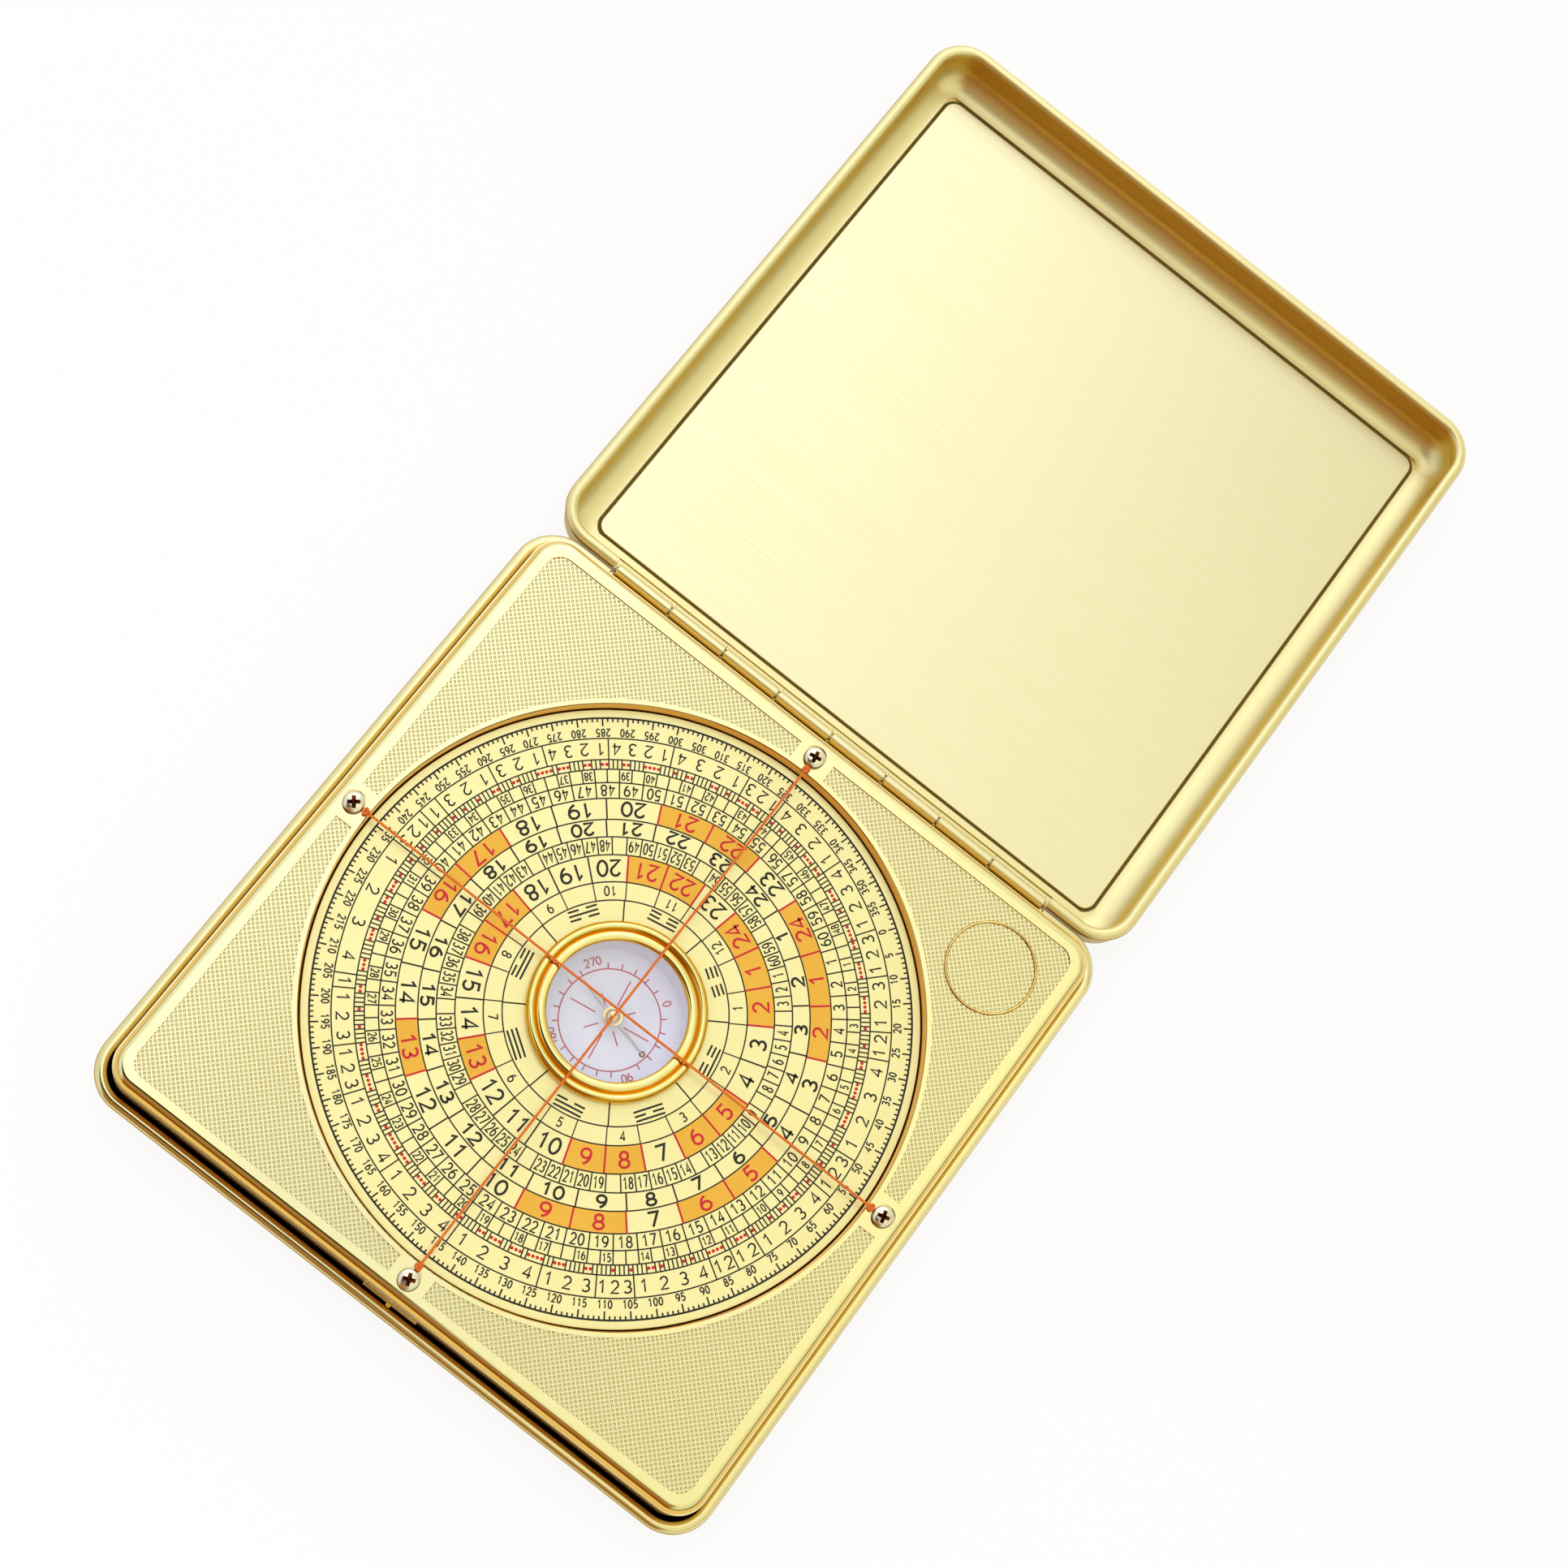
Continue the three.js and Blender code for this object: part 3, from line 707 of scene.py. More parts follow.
    def carved(self, *cutters: "Solid") -> "Solid":
        """Cuts other solids out of this one.

        Args:
            cutters: The closed solids to take away.

        Returns:
            What is left, as a new solid.
        """
        shapes = []
        for solid in (self, *cutters):
            shapes.append(bpy.data.objects.new("carving", solid.mesh("carving", 1, True)))
            bpy.context.scene.collection.objects.link(shapes[-1])
        for tool in shapes[1:]:
            cut = shapes[0].modifiers.new("cut", "BOOLEAN")
            cut.operation = "DIFFERENCE"
            cut.solver = "EXACT"
            cut.object = tool
        view = bpy.context.evaluated_depsgraph_get()
        left = bpy.data.meshes.new_from_object(shapes[0].evaluated_get(view))
        points = [vertex.co.copy() for vertex in left.vertices]
        result = Solid().add(points, [face.vertices for face in left.polygons])
        spent = [left, *(shape.data for shape in shapes)]
        for shape in shapes:
            bpy.data.objects.remove(shape)
        for mesh in spent:
            bpy.data.meshes.remove(mesh)
        return result

    def piece(self, name: str, body: Body, finish: Finish, replaces: Sequence[str] = (),
              sharp: float = 38, weld: bool = True) -> None:
        """Turns the solid into a piece of the object.

        Args:
            name: The piece's name.
            body: The body it moves with.
            finish: Its finish.
            replaces: Nodes of the frame that it stands for.
            sharp: Edges that turn by more degrees than this stay sharp.
            weld: Whether points that coincide become one.
        """
        mesh = self.mesh(name, MM, weld)
        mesh.polygons.foreach_set("use_smooth", [True] * len(mesh.polygons))
        mesh.set_sharp_from_angle(angle=math.radians(sharp))
        mesh.materials.append(finish.material())
        made = bpy.data.objects.new(name, mesh)
        bpy.context.scene.collection.objects.link(made)
        if weld:
            weighted = made.modifiers.new("even_faces", "WEIGHTED_NORMAL")
            weighted.keep_sharp = True
        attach(made, body.value)
        if replaces:
            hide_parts(*replaces)
        log.info("%s: %d faces, rides on %s", name, len(mesh.polygons), body.value)


def carried_over(node: str, finish: Finish) -> None:
    """Gives a node of the frame, whose shape stays, its finish.

    Args:
        node: The node's name.
        finish: Its new finish.
    """
    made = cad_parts[node]
    made.data.materials.clear()
    made.data.materials.append(finish.material())
    log.info("%s: carried over with %s", node, finish.name)


@dataclass
class HingeRow:
    """The row of rolled knuckles on their wire, half of them on the base and half on the lid."""

    count: int = 8
    gap: float = 0.3
    radius: float = 1.0
    bore: float = 0.68
    leaf: float = 0.5
    tab: float = 0.4
    lap: float = 0.02
    strip_bevel: float = 0.05
    tab_bevel: float = 0.06
    chamfer: float = 0.09
    wall_inset: float = 0.9
    wire_end: tuple[Pair, ...] = ((0.0, 0.0), (0.6, 0.02), (1.0, 0.18))

    def __post_init__(self) -> None:
        """Reads the hinge's line and length from the frame."""
        leaf, pin = NodeBox.of("base_hinge_leaf"), NodeBox.of("hinge_pin")
        self.axis = pin.centre
        self.length = 2 * leaf.reach
        self.pitch = (self.length + self.gap) / self.count
        self.strip_low = leaf.low.z
        self.pin_reach = pin.reach
        self.pin_radius = (pin.high.z - pin.low.z) / 2

    def notch(self, side: int) -> Solid:
        """Makes the room that the hinge takes from a tray's rim.

        Args:
            side: 1 for the base's tray, -1 for the lid's.

        Returns:
            The cutter.
        """
        half = self.pin_reach + self.gap
        low = self.axis.z - self.radius - self.gap
        near = side * (self.wall_inset + 2 * self.gap)
        spread = sorted((self.axis.y - near - side * self.gap, self.axis.y + side * self.gap))
        return Solid().block((-half, spread[0], low), (half, spread[1], self.axis.z + self.radius))

    def along_axis(self, section: Sequence[Pair], steps: int, joined: bool = False) -> Solid:
        """Turns a section of radius and place along X round the hinge's axis."""
        lay = Matrix.Translation((0, self.axis.y, self.axis.z)) @ Matrix.Rotation(math.pi / 2, 4, "Y")
        return Solid().turned(section, steps, joined).moved(lay)

    def leaf_solid(self, first: int, side: int) -> Solid:
        """Makes a leaf.

        Args:
            first: The place of its first knuckle.
            side: 1 for the base's leaf, -1 for the lid's.

        Returns:
            Strip, tabs and knuckles.
        """
        wall = self.axis.y - side * (self.wall_inset + self.gap / 2)
        inner = wall - side * self.leaf
        tab_low, half, rim = self.axis.z - self.radius, self.length / 2, self.radius - self.chamfer
        near, far = sorted((wall, inner))
        made = Solid().block((-half, near, self.strip_low), (half, far, tab_low + self.lap), self.strip_bevel)
        near, far = sorted((inner, self.axis.y))
        for knuckle in range(first, self.count, 2):
            x0 = -half + knuckle * self.pitch
            x1 = x0 + self.pitch - self.gap
            made.block((x0, near, tab_low), (x1, far, tab_low + self.tab), self.tab_bevel)
            section = [
                (self.bore, x0), (rim, x0), (self.radius, x0 + self.chamfer),
                (self.radius, x1 - self.chamfer), (rim, x1), (self.bore, x1)]
            made.join(self.along_axis(section, 40, True))
        return made

    def build(self) -> None:
        """Makes both leaves and the wire."""
        self.leaf_solid(0, 1).piece("hinge_leaf_base", Body.BASE, LEAF, ["base_hinge_leaf"])
        self.leaf_solid(1, -1).piece("hinge_leaf_lid", Body.LID, LEAF, ["lid_hinge_leaf"])
        half = [(self.pin_radius * share, inset - self.pin_reach) for share, inset in self.wire_end]
        section = half + [(radius, -x) for radius, x in reversed(half)]
        self.along_axis(section, 32).piece("hinge_wire", Body.BASE, WIRE, ["hinge_pin"])


@dataclass
class Tray:
    """A pressed sheet tray: flat floor, bent edge, straight wall and a rim rolled in two beads."""

    node: str
    body: Body
    hinge: HingeRow
    side: int
    sheet: float = 0.6
    bend: float = 4.6
    corner: float = 6.2
    rim_width: float = 1.8
    rim_height: float = 1.2
    rim_proud: float = 0.3
    bead_rise: float = 0.7
    bead_crest: float = 1.0
    bead_line: float = 0.06
    floor: float = 1.0
    floor_edge: float = 5.05
    finish: Metal = SATIN
    slope_foot: float = 0.0
    slope_drop: float = 3.6
    rim_tuck: Pair = (0.15, 0.25)
    rim_foot: float = 0.1
    apron: Pair = (0.1, 0.6)
    apron_fall: float = 0.4
    wall_ease: float = 0.1

    def section(self, height: float) -> list[Pair]:
        """Lists the wall's section.

        Args:
            height: The tray's height.

        Returns:
            Points of inset and height, up the outside and down the inside.
        """
        wall_top = height - self.rim_height
        middle = (self.rim_proud + self.bend, self.bend)
        inside = self.rim_proud + self.sheet
        reach, rise = self.bead_crest, self.bead_rise
        crest = (reach, height - rise)
        tuck = (self.rim_width - self.rim_tuck[0], crest[1] - self.rim_tuck[1])
        under_rim = [tuck, (inside + self.rim_foot, wall_top)]
        if self.slope_foot:
            foot = height - self.slope_drop
            apron = (self.slope_foot - self.apron[0], crest[1] - self.apron[1])
            under_rim = [apron, (self.slope_foot, foot), (inside, foot - self.apron_fall)]
        return [
            *arc(middle, (self.bend, self.bend), -90, -180, 12),
            (self.rim_proud, wall_top - self.wall_ease),
            *arc(crest, (reach, rise), 190, 142, 5),
            *arc(crest, (reach - self.bead_line, rise - self.bead_line), 139, 137, 1),
            *arc(crest, (reach, rise), 134, 90, 7),
            *arc(crest, (self.rim_width - reach, rise), 82, 0, 9),
            *under_rim,
            *arc(middle, (self.bend - self.sheet, self.bend - self.floor), -180, -90, 12),
            (self.floor_edge, self.floor),
            (self.floor_edge, self.sheet),
        ]

    def build(self) -> None:
        """Makes the tray with the notch for its hinge."""
        box = NodeBox.of(self.node)
        tray = Solid().pressed(box.reach, self.corner, self.section(box.high.z)).at(0, box.centre.y)
        tray = tray.carved(self.hinge.notch(self.side))
        tray.piece(f"{self.node}_pressing", self.body, self.finish, [self.node])


@dataclass
class LidLiner:
    """The flat brushed plate inside the lid, with a fine rolled edge and a dark line of painted shade in the
    gap round it.
    """

    corner: float = 1.8
    edge: float = 0.16
    gap: float = 0.45
    play: float = 0.02
    # Height of the dark strip of painted shade in the gap round the plate.
    glue: float = 0.12

    def build(self) -> None:
        """Makes the plate and the dark line of painted shade round it."""
        box = NodeBox.of("lid_panel")
        level, middle = box.low.z, box.centre.y
        rounding = arc((self.edge, box.high.z - self.edge), (self.edge, self.edge), 180, 90, 4)
        plate = Solid().pressed(box.reach, self.corner, [(0, level), *rounding]).at(0, middle)
        plate.piece("lid_liner", Body.LID, LINER, ["lid_panel"])
        # A dark strip laid in the gap round the plate: painted shade.
        wide, section = box.reach + self.gap - self.play, [(0, level), (0, level + self.glue)]
        line = Solid().pressed(wide, self.corner + self.gap, section)
        room = Solid().pressed(box.reach - self.gap, self.corner, [(0, level - 1), (0, level + 1)])
        line.carved(room).at(0, middle).piece("liner_gap_shade", Body.LID, GAP_SHADE)


@dataclass
class EarthFrame:
    """The plated square frame: round opening, woven corner fields, screw seats and the raised ring."""

    skirt: float = -0.15
    skirt_drop: float = 0.04
    ease: float = 0.1
    ledge: float = 0.05
    edge: float = 1.35
    corner: float = 4.2
    wall: float = 1.5
    thickness: float = 2.5
    border: float = 2.4
    field_depth: float = 0.3
    field_corner: float = 2.4
    band: float = 1.0
    bridge: float = 5.6
    opening_gap: float = 0.3
    lean: float = 0.22
    lean_depth: float = 2.3
    lip: float = 0.14
    ring_radius: float = 6.55
    ring_width: float = 0.42
    ring_inset: float = 11.1
    ring_drop: float = 0.05
    seat_radius: float = 1.75
    seat_depth: float = 0.3
    hole_radius: float = 1.05
    weave_pitch: float = 0.577
    weave_rise: float = 0.065
    weave_bed: float = 0.02
    weave_turn: float = 45.0
    weave_over: float = 0.36
    weave_span: float = 1.45
    pit_mouth: Pair = (0.6, 0.7)
    pit_foot: Pair = (0.08, 0.18)
    pit_floor: float = 0.1

    def __post_init__(self) -> None:
        """Reads the frame's reach and heights."""
        self.reach, self.low, self.top = NodeBox.of("earth_plate").span
        self.opening = NodeBox.of("dial_plate").reach + self.opening_gap
        self.ledge_top = self.top - self.edge
        self.seat = self.top - self.seat_depth
        self.field_reach = self.reach - self.border
        self.field_floor = self.top - self.field_depth

    def field_outline(self) -> list[Pair]:
        """Lists the outline of the field in the corner of +X and +Y.

        Returns:
            Its points.
        """
        half, reach, turn = self.bridge / 2, self.field_reach, self.field_corner
        rim = self.opening + self.band
        slant = math.degrees(math.asin(half / rim))
        outer = arc((reach - turn, reach - turn), (turn, turn), 0, 90, 10)
        return [(reach, half), *outer, (half, reach), *arc((0, 0), (rim, rim), 90 - slant, slant, 60)]

    def woven(self, x: float, y: float) -> bool:
        """Tells whether the weave has a cell at a place.

        Args:
            x: Place along X.
            y: Place along Y.

        Returns:
            Whether it lies in a field or just past its outline.
        """
        x, y = abs(x), abs(y)
        inner, over = self.field_reach - self.field_corner, self.weave_over
        past = math.hypot(max(x - inner, 0), max(y - inner, 0))
        return (min(x, y) > self.bridge / 2 - over and past < self.field_corner + over
                and math.hypot(x, y) > self.opening + self.band - over)

    def moulding(self) -> Solid:
        """Makes the frame without its weave.

        Returns:
            The frame.
        """
        rounding = arc((self.ledge + self.edge, self.ledge_top), (self.edge, self.edge), 180, 90, 14)
        skirt, rim, ease = self.skirt, self.ledge_top - self.skirt_drop, self.ease
        eased = [(skirt, rim - ease), (skirt + 0.3 * ease, rim - 0.3 * ease), (skirt + ease, rim)]
        section = [(skirt, self.low), *eased, (self.ledge, rim), *rounding]
        inset, under = self.ledge + self.wall, self.top - self.thickness
        # Each kind of cutter runs past the frame by its own length, so ends of two kinds share no plane.
        hollow = [(0, self.low - 1), (0, under)]
        cutters = [Solid().pressed(self.reach - inset, self.corner - inset, hollow)]
        mouth, lip = self.opening + self.lean, self.lip
        wall = [(self.opening, self.top - self.lean_depth), (mouth, self.top - lip), (mouth + lip, self.top)]
        cutters.append(Solid().bore(wall, self.low - 2, self.top + 2, 240))
        for quarter in range(4):
            rings = [at_height(self.field_outline(), z) for z in (self.field_floor, self.top + 1)]
            cutters.append(Solid().skin(rings).spun(90 * quarter))
        for side in ("front", "back", "left", "right"):
            place = NodeBox.of(f"screw_{side}").centre
            steps = [(self.hole_radius, self.seat), (self.seat_radius, self.seat)]
            cutters.append(Solid().bore(steps, self.low - 3, self.top + 3, 40).at(place.x, place.y))
        return Solid().pressed(self.reach, self.corner, section).carved(*cutters)

    def raised_ring(self) -> Solid:
        """Makes the thin raised ring in the field of the far right corner.

        Returns:
            The ring.
        """
        half = self.ring_width / 2
        middle = self.ring_radius - half
        crown = arc((middle, self.top - self.ring_drop - half), (half, half), 0, 180, 8)
        foot = self.field_floor - self.field_depth / 2
        place = self.reach - self.ring_inset
        section = [(middle - half, foot), (middle + half, foot), *crown]
        return Solid().turned(section, 96, True).at(place, place)

    def weave(self) -> Solid:
        """Makes the fields' woven sheet: small pits in rows along both diagonals.

        Returns:
            The sheet.
        """
        turn, pitch = math.radians(self.weave_turn), self.weave_pitch
        along = Vector((math.cos(turn), math.sin(turn), 0)) * pitch
        across = Vector((-along.y, along.x, 0))
        low, high = UP * (self.field_floor - self.weave_bed), UP * (self.field_floor + self.weave_rise)
        count = int(self.weave_span * self.field_reach / pitch)
        span = range(-count, count + 1)
        cells = {
            (column, row) for column in span for row in span
            if self.woven(*(along * column + across * row).xy)}
        beside = ((0, -1), (1, 0), (0, 1), (-1, 0))
        pit_low = low * (1 - self.pit_floor) + high * self.pit_floor
        pit_levels = ((self.pit_mouth, high), (self.pit_foot, pit_low))
        points: list[Vector] = []
        faces: list[tuple[int, ...]] = []
        known: dict[tuple[int, int, bool], int] = {}

        def corner(column: int, row: int, upper: bool) -> int:
            """Makes a corner of a cell, once.

            Args:
                column: The corner's column.
                row: Its row.
                upper: Whether it lies on the sheet's top.

            Returns:
                The point's number.
            """
            key = (column, row, upper)
            if key not in known:
                known[key] = len(points)
                points.append(along * (column - 0.5) + across * (row - 0.5) + (high if upper else low))
            return known[key]

        for column, row in sorted(cells):
            base, rim = ([corner(column + s, row + t, upper) for s, t in SQUARE] for upper in (False, True))
            middle, pit = along * column + across * row, len(points)
            for (long, wide), height in pit_levels:
                reach = (along * long, across * wide)
                points += [middle + reach[0] * (s - 0.5) + reach[1] * (t - 0.5) + height for s, t in SQUARE]
            for side, (s, t) in enumerate(beside):
                after = (side + 1) % 4
                faces.append((rim[side], rim[after], pit + after, pit + side))
                faces.append((pit + side, pit + after, pit + 4 + after, pit + 4 + side))
                if (column + s, row + t) not in cells:
                    faces.append((base[side], base[after], rim[after], rim[side]))
            faces += [tuple(range(pit + 4, pit + 8)), tuple(reversed(base))]
        return Solid().add(points, faces)

    def build(self) -> None:
        """Makes the frame and its weave."""
        self.moulding().piece("frame_moulding", Body.BASE, PLATED, ["earth_plate"])
        self.raised_ring().piece("frame_ring", Body.BASE, RAISED)
        self.weave().piece("frame_weave", Body.BASE, WOVEN, sharp=10, weld=False)


@dataclass
class Screws:
    """The four cross-head screws, each turned as it was driven home."""

    head_radius: float = 1.5
    head_ease: float = 0.06
    head_round: float = 0.5
    shank: float = 0.72
    core: float = 0.76
    neck: float = 0.8
    neck_length: float = 0.4
    tip: Pair = (0.5, 0.1)
    pitch: float = 0.6
    crest: Pair = (0.4, 0.55)
    thread_start: float = 0.5
    thread_clear: float = 1.2
    slot_half: Pair = (1.22, 0.3565)
    slot_foot: Pair = (0.01, 0.0062)
    slot_depth: float = 1.1
    slot_over: float = 0.3
    turns: Mapping[str, float] = field(
        default_factory=lambda: {"front": 22, "back": 8, "left": 38, "right": 15})

    def solid(self, low: float, top: float, head: float) -> Solid:
        """Makes a screw on the axis.

        Args:
            low: Height of its point.
            top: Height of its head.
            head: Height of the head's underside.

        Returns:
            The screw with its cross slot.
        """
        rise, neck = (top - head) * self.head_round, self.shank * self.neck
        ridges = [(0, low), (self.shank * self.tip[0], low + self.tip[1])]
        for ridge in range(int((head - low - self.thread_clear) / self.pitch)):
            z = low + self.thread_start + ridge * self.pitch
            crest = [(self.shank, z + self.pitch * share) for share in self.crest]
            ridges += [(self.shank * self.core, z), *crest]
        section = [
            *ridges, (neck, head - self.neck_length), (neck, head),
            (self.head_radius - self.head_ease, head), (self.head_radius, head + self.head_ease),
            *arc((0, top - rise), (self.head_radius, rise), 0, 90, 8)]
        levels = ((self.slot_foot, top - self.slot_depth), (self.slot_half, top + self.slot_over))
        cross = []
        for turn in (0, 90):
            rings = []
            for (x, y), z in levels:
                rings.append(at_height([((2 * s - 1) * x, (2 * t - 1) * y) for s, t in SQUARE], z))
            cross.append(Solid().skin(rings).spun(turn))
        return Solid().turned(section, 48).carved(*cross)

    def build(self) -> None:
        """Makes and places the four screws."""
        seat = EarthFrame().seat
        for side, turn in self.turns.items():
            box = NodeBox.of(f"screw_{side}")
            screw = self.solid(box.low.z, box.high.z, seat).spun(turn).at(box.centre.x, box.centre.y)
            screw.piece(f"cross_screw_{side}", Body.BASE, SCREW, [f"screw_{side}"])


@dataclass
class CrossThreads:
    """The two taut red threads, each of three strands, knotted at the screws."""

    radius: float = 0.2
    strand: float = 0.115
    lay: float = 1.5
    knot: float = 0.16
    knot_rise: float = 0.9
    knot_strand: float = 0.95
    knot_lift: float = 0.6
    knot_inset: float = 0.5
    knot_steps: int = 48
    rise: float = 0.52
    steps_per_turn: int = 10

    def twisted(self, start: Vector, end: Vector, rise: float) -> Solid:
        """Twists three strands between two points.

        Args:
            start: First end.
            end: Last end.
            rise: How far the thread rises in its middle.

        Returns:
            The thread.
        """
        made = Solid()
        across = UP.cross((end - start).normalized())
        turns = (end - start).length / self.lay
        steps = int(turns * self.steps_per_turn)
        for strand in range(3):
            path = []
            for step in range(steps + 1):
                share = step / steps
                angle = 2 * math.pi * (turns * share + strand / 3)
                lift = rise * (1 - (2 * share - 1) ** 2)
                swing = math.cos(angle) * across + math.sin(angle) * UP
                path.append(start.lerp(end, share) + UP * lift + swing * (self.radius - self.strand))
            made.tube(path, self.strand, 6)
        return made

    def knotted(self, place: Vector, turn: float) -> Solid:
        """Makes an overhand knot of the thread.

        Args:
            place: Where its middle lies.
            turn: How far it is turned round Z, in radians.

        Returns:
            The knot.
        """
        path = []
        for step in range(self.knot_steps):
            t = 2 * math.pi * step / self.knot_steps
            out, rise = 2 + math.cos(3 * t), self.knot_rise * math.sin(3 * t)
            path.append(Vector((out * math.cos(2 * t), out * math.sin(2 * t), rise)) * self.knot)
        spin = Matrix.Translation(place) @ Matrix.Rotation(turn, 4, "Z")
        return Solid().tube(path, self.knot * self.knot_strand, 8, True).moved(spin)

    def build(self) -> None:
        """Makes both threads with their knots."""
        ways = {"side_to_side": Vector((1, 0, 0)), "front_to_back": Vector((0, 1, 0))}
        for name, way in ways.items():
            box = NodeBox.of(f"thread_{name}")
            reach = max(box.reach, (box.high.y - box.low.y) / 2) - self.knot_inset
            start, end = -reach * way, reach * way
            start.z = end.z = box.low.z + self.radius
            thread = self.twisted(start, end, 0 if way.x else self.rise)
            for turn, place in enumerate((start, end)):
                thread.join(self.knotted(place + UP * (self.radius * self.knot_lift), turn + way.y))
            thread.piece(f"red_thread_{name}", Body.BASE, THREAD, [f"thread_{name}"])


@dataclass
class Catch:
    """The sprung leaf at the front with its round nub."""

    nub: float = 0.42
    leaf: float = 0.4
    bevel: float = 0.08
    lap: float = 0.02

    def build(self) -> None:
        """Makes the leaf and the nub."""
        box = NodeBox.of("catch_spring")
        face = box.high.y - self.leaf
        made = Solid().block((box.low.x, face, box.low.z), box.high, self.bevel)
        dome = Solid().turned([*arc((0, 0), (self.nub, self.nub), 0, 90, 8), (0, 0), (self.nub, 0)], 32)
        dome.moved(Matrix.Rotation(math.pi / 2, 4, "X")).at(0, face + self.lap, box.centre.z)
        made.join(dome).piece("catch_leaf", Body.BASE, POLISHED, ["catch_spring"])


class Pen:
    """Draws print as thin closed bodies on a round scale."""

    sunk, proud, layer = 0.01, 0.02, 0.001

    def __init__(self, level: float, zero: float, heads: Heads = Heads.INWARD) -> None:
        """Keeps where to draw.

        Args:
            level: Height of the printed surface.
            zero: Angle of the scale's 0 from +X, in degrees against the clock.
            heads: Which way the numerals' heads point.
        """
        self.solid = Solid()
        self.low, self.high = level - self.sunk, level + self.proud
        self.strokes = 0
        self.zero = zero
        self.heads = heads

    def spot(self, radius: float, degrees: float) -> Vector:
        """Gives the point at a radius and a reading of the scale, which runs with the clock."""
        angle = math.radians(self.zero - degrees)
        return Vector((radius * math.cos(angle), radius * math.sin(angle), 0))

    def section(self, inner: float, outer: float) -> list[Pair]:
        """Lists the corners of the print's section between two radii."""
        return [(inner, self.low), (outer, self.low), (outer, self.high), (inner, self.high)]

    def circle(self, radius: float, width: float) -> None:
        """Draws a circle of a line's width."""
        self.solid.turned(self.section(radius - width / 2, radius + width / 2), 240, True)

    def stroke(self, line: Sequence[Vector], width: float) -> None:
        """Draws a line through points; lines that cross lie at slightly different heights.

        Args:
            line: The points; the line closes where the last is the first.
            width: The line's width.
        """
        closed = (line[0] - line[-1]).length < 1e-6
        points = list(line[:-1]) if closed else list(line)
        self.strokes += 1
        top = self.high + self.layer * (self.strokes % 5)
        rings = []
        for place, point in enumerate(points):
            before = points[place - 1] if place or closed else point
            after = points[(place + 1) % len(points)] if place + 1 < len(points) or closed else point
            come, go = (point - before).normalized(), (after - point).normalized()
            along = (come + go).normalized()
            side = Vector((-along.y, along.x, 0))
            square = Vector((-go.y, go.x, 0)) if go.length else side
            side *= width / 2 / max(side.dot(square), 0.55)
            left, right = point + side, point - side
            corners = ((left, self.low), (right, self.low), (right, top), (left, top))
            rings.append([Vector((p.x, p.y, z)) for p, z in corners])
        self.solid.skin(rings, closed)

    def spoke(self, degrees: float, inner: float, outer: float, width: float) -> None:
        """Draws a line along a radius."""
        self.stroke([self.spot(inner, degrees), self.spot(outer, degrees)], width)

    def cell(self, start: float, stop: float, inner: float, outer: float) -> None:
        """Fills a cell.

        Args:
            start: Its first reading.
            stop: Its last reading.
            inner: Its inner radius.
            outer: Its outer radius.
        """
        rings = []
        steps = max(2, round((stop - start) / 1.5))
        for step in range(steps + 1):
            reading = start + (stop - start) * step / steps
            rings.append([self.spot(radius, reading) + UP * z for radius, z in self.section(inner, outer)])
        self.solid.skin(rings)

    def dot(self, degrees: float, radius: float, size: float) -> None:
        """Fills a round dot.

        Args:
            degrees: The reading at its middle.
            radius: The radius at its middle.
            size: Its own radius.
        """
        middle = self.spot(radius, degrees)
        ring = arc((middle.x, middle.y), (size, size), 0, 360 * 11 / 12, 11)
        self.solid.skin([at_height(ring, z) for z in (self.low, self.high)])

    def bar(self, degrees: float, radius: float, start: float, stop: float, width: float) -> None:
        """Draws a straight line square to the radius, between two places along it."""
        middle, side = self.spot(radius, degrees), self.spot(1, degrees - 90)
        self.stroke([middle + side * start, middle + side * stop], width)

    def numeral(self, text: str, degrees: float, radius: float, size: Pair, width: float,
                gap: float = 0.3) -> None:
        """Writes a number across a radius.

        Args:
            text: Its digits.
            degrees: The reading at its middle.
            radius: The radius at its middle.
            size: Width and height of a digit.
            width: The strokes' width.
            gap: Room between digits.
        """
        up = self.spot(self.heads.value, degrees)
        right = Vector((up.y, -up.x, 0))
        middle = self.spot(radius, degrees)
        start = -(len(text) * size[0] + (len(text) - 1) * gap) / 2
        for place, digit in enumerate(text):
            left = start + place * (size[0] + gap)
            for line in DIGITS[digit]:
                points = [middle + right * (left + x * size[0]) + up * ((y - 0.5) * size[1]) for x, y in line]
                self.stroke(points, width)


SIX = [arc((0.5, 0.3), (0.5, 0.3), 0, 360, 12), arc((0.9, 0.33), (0.9, 0.67), 178, 105, 5)]
DIGITS: Mapping[str, list[list[Pair]]] = {
    "0": [arc((0.5, 0.5), (0.5, 0.5), 90, 450, 14)],
    "1": [[(0.15, 0.76), (0.56, 1), (0.56, 0)]],
    "2": [[*arc((0.48, 0.7), (0.46, 0.3), 165, -35, 7), (0, 0), (1, 0)]],
    "3": [[*arc((0.45, 0.74), (0.43, 0.26), 150, -80, 7), *arc((0.45, 0.25), (0.5, 0.25), 75, -150, 7)]],
    "4": [[(0.74, 0), (0.74, 1), (0, 0.28), (1, 0.28)]],
    "5": [[(0.92, 1), (0.18, 1), (0.1, 0.52), *arc((0.47, 0.31), (0.5, 0.31), 120, -145, 8)]],
    "6": SIX,
    "7": [[(0, 1), (1, 1), (0.36, 0)]],
    "8": [arc((0.5, 0.75), (0.4, 0.25), 90, 450, 12), arc((0.5, 0.26), (0.5, 0.26), 90, 450, 12)],
    "9": [[(1 - x, 1 - y) for x, y in line] for line in SIX],
}


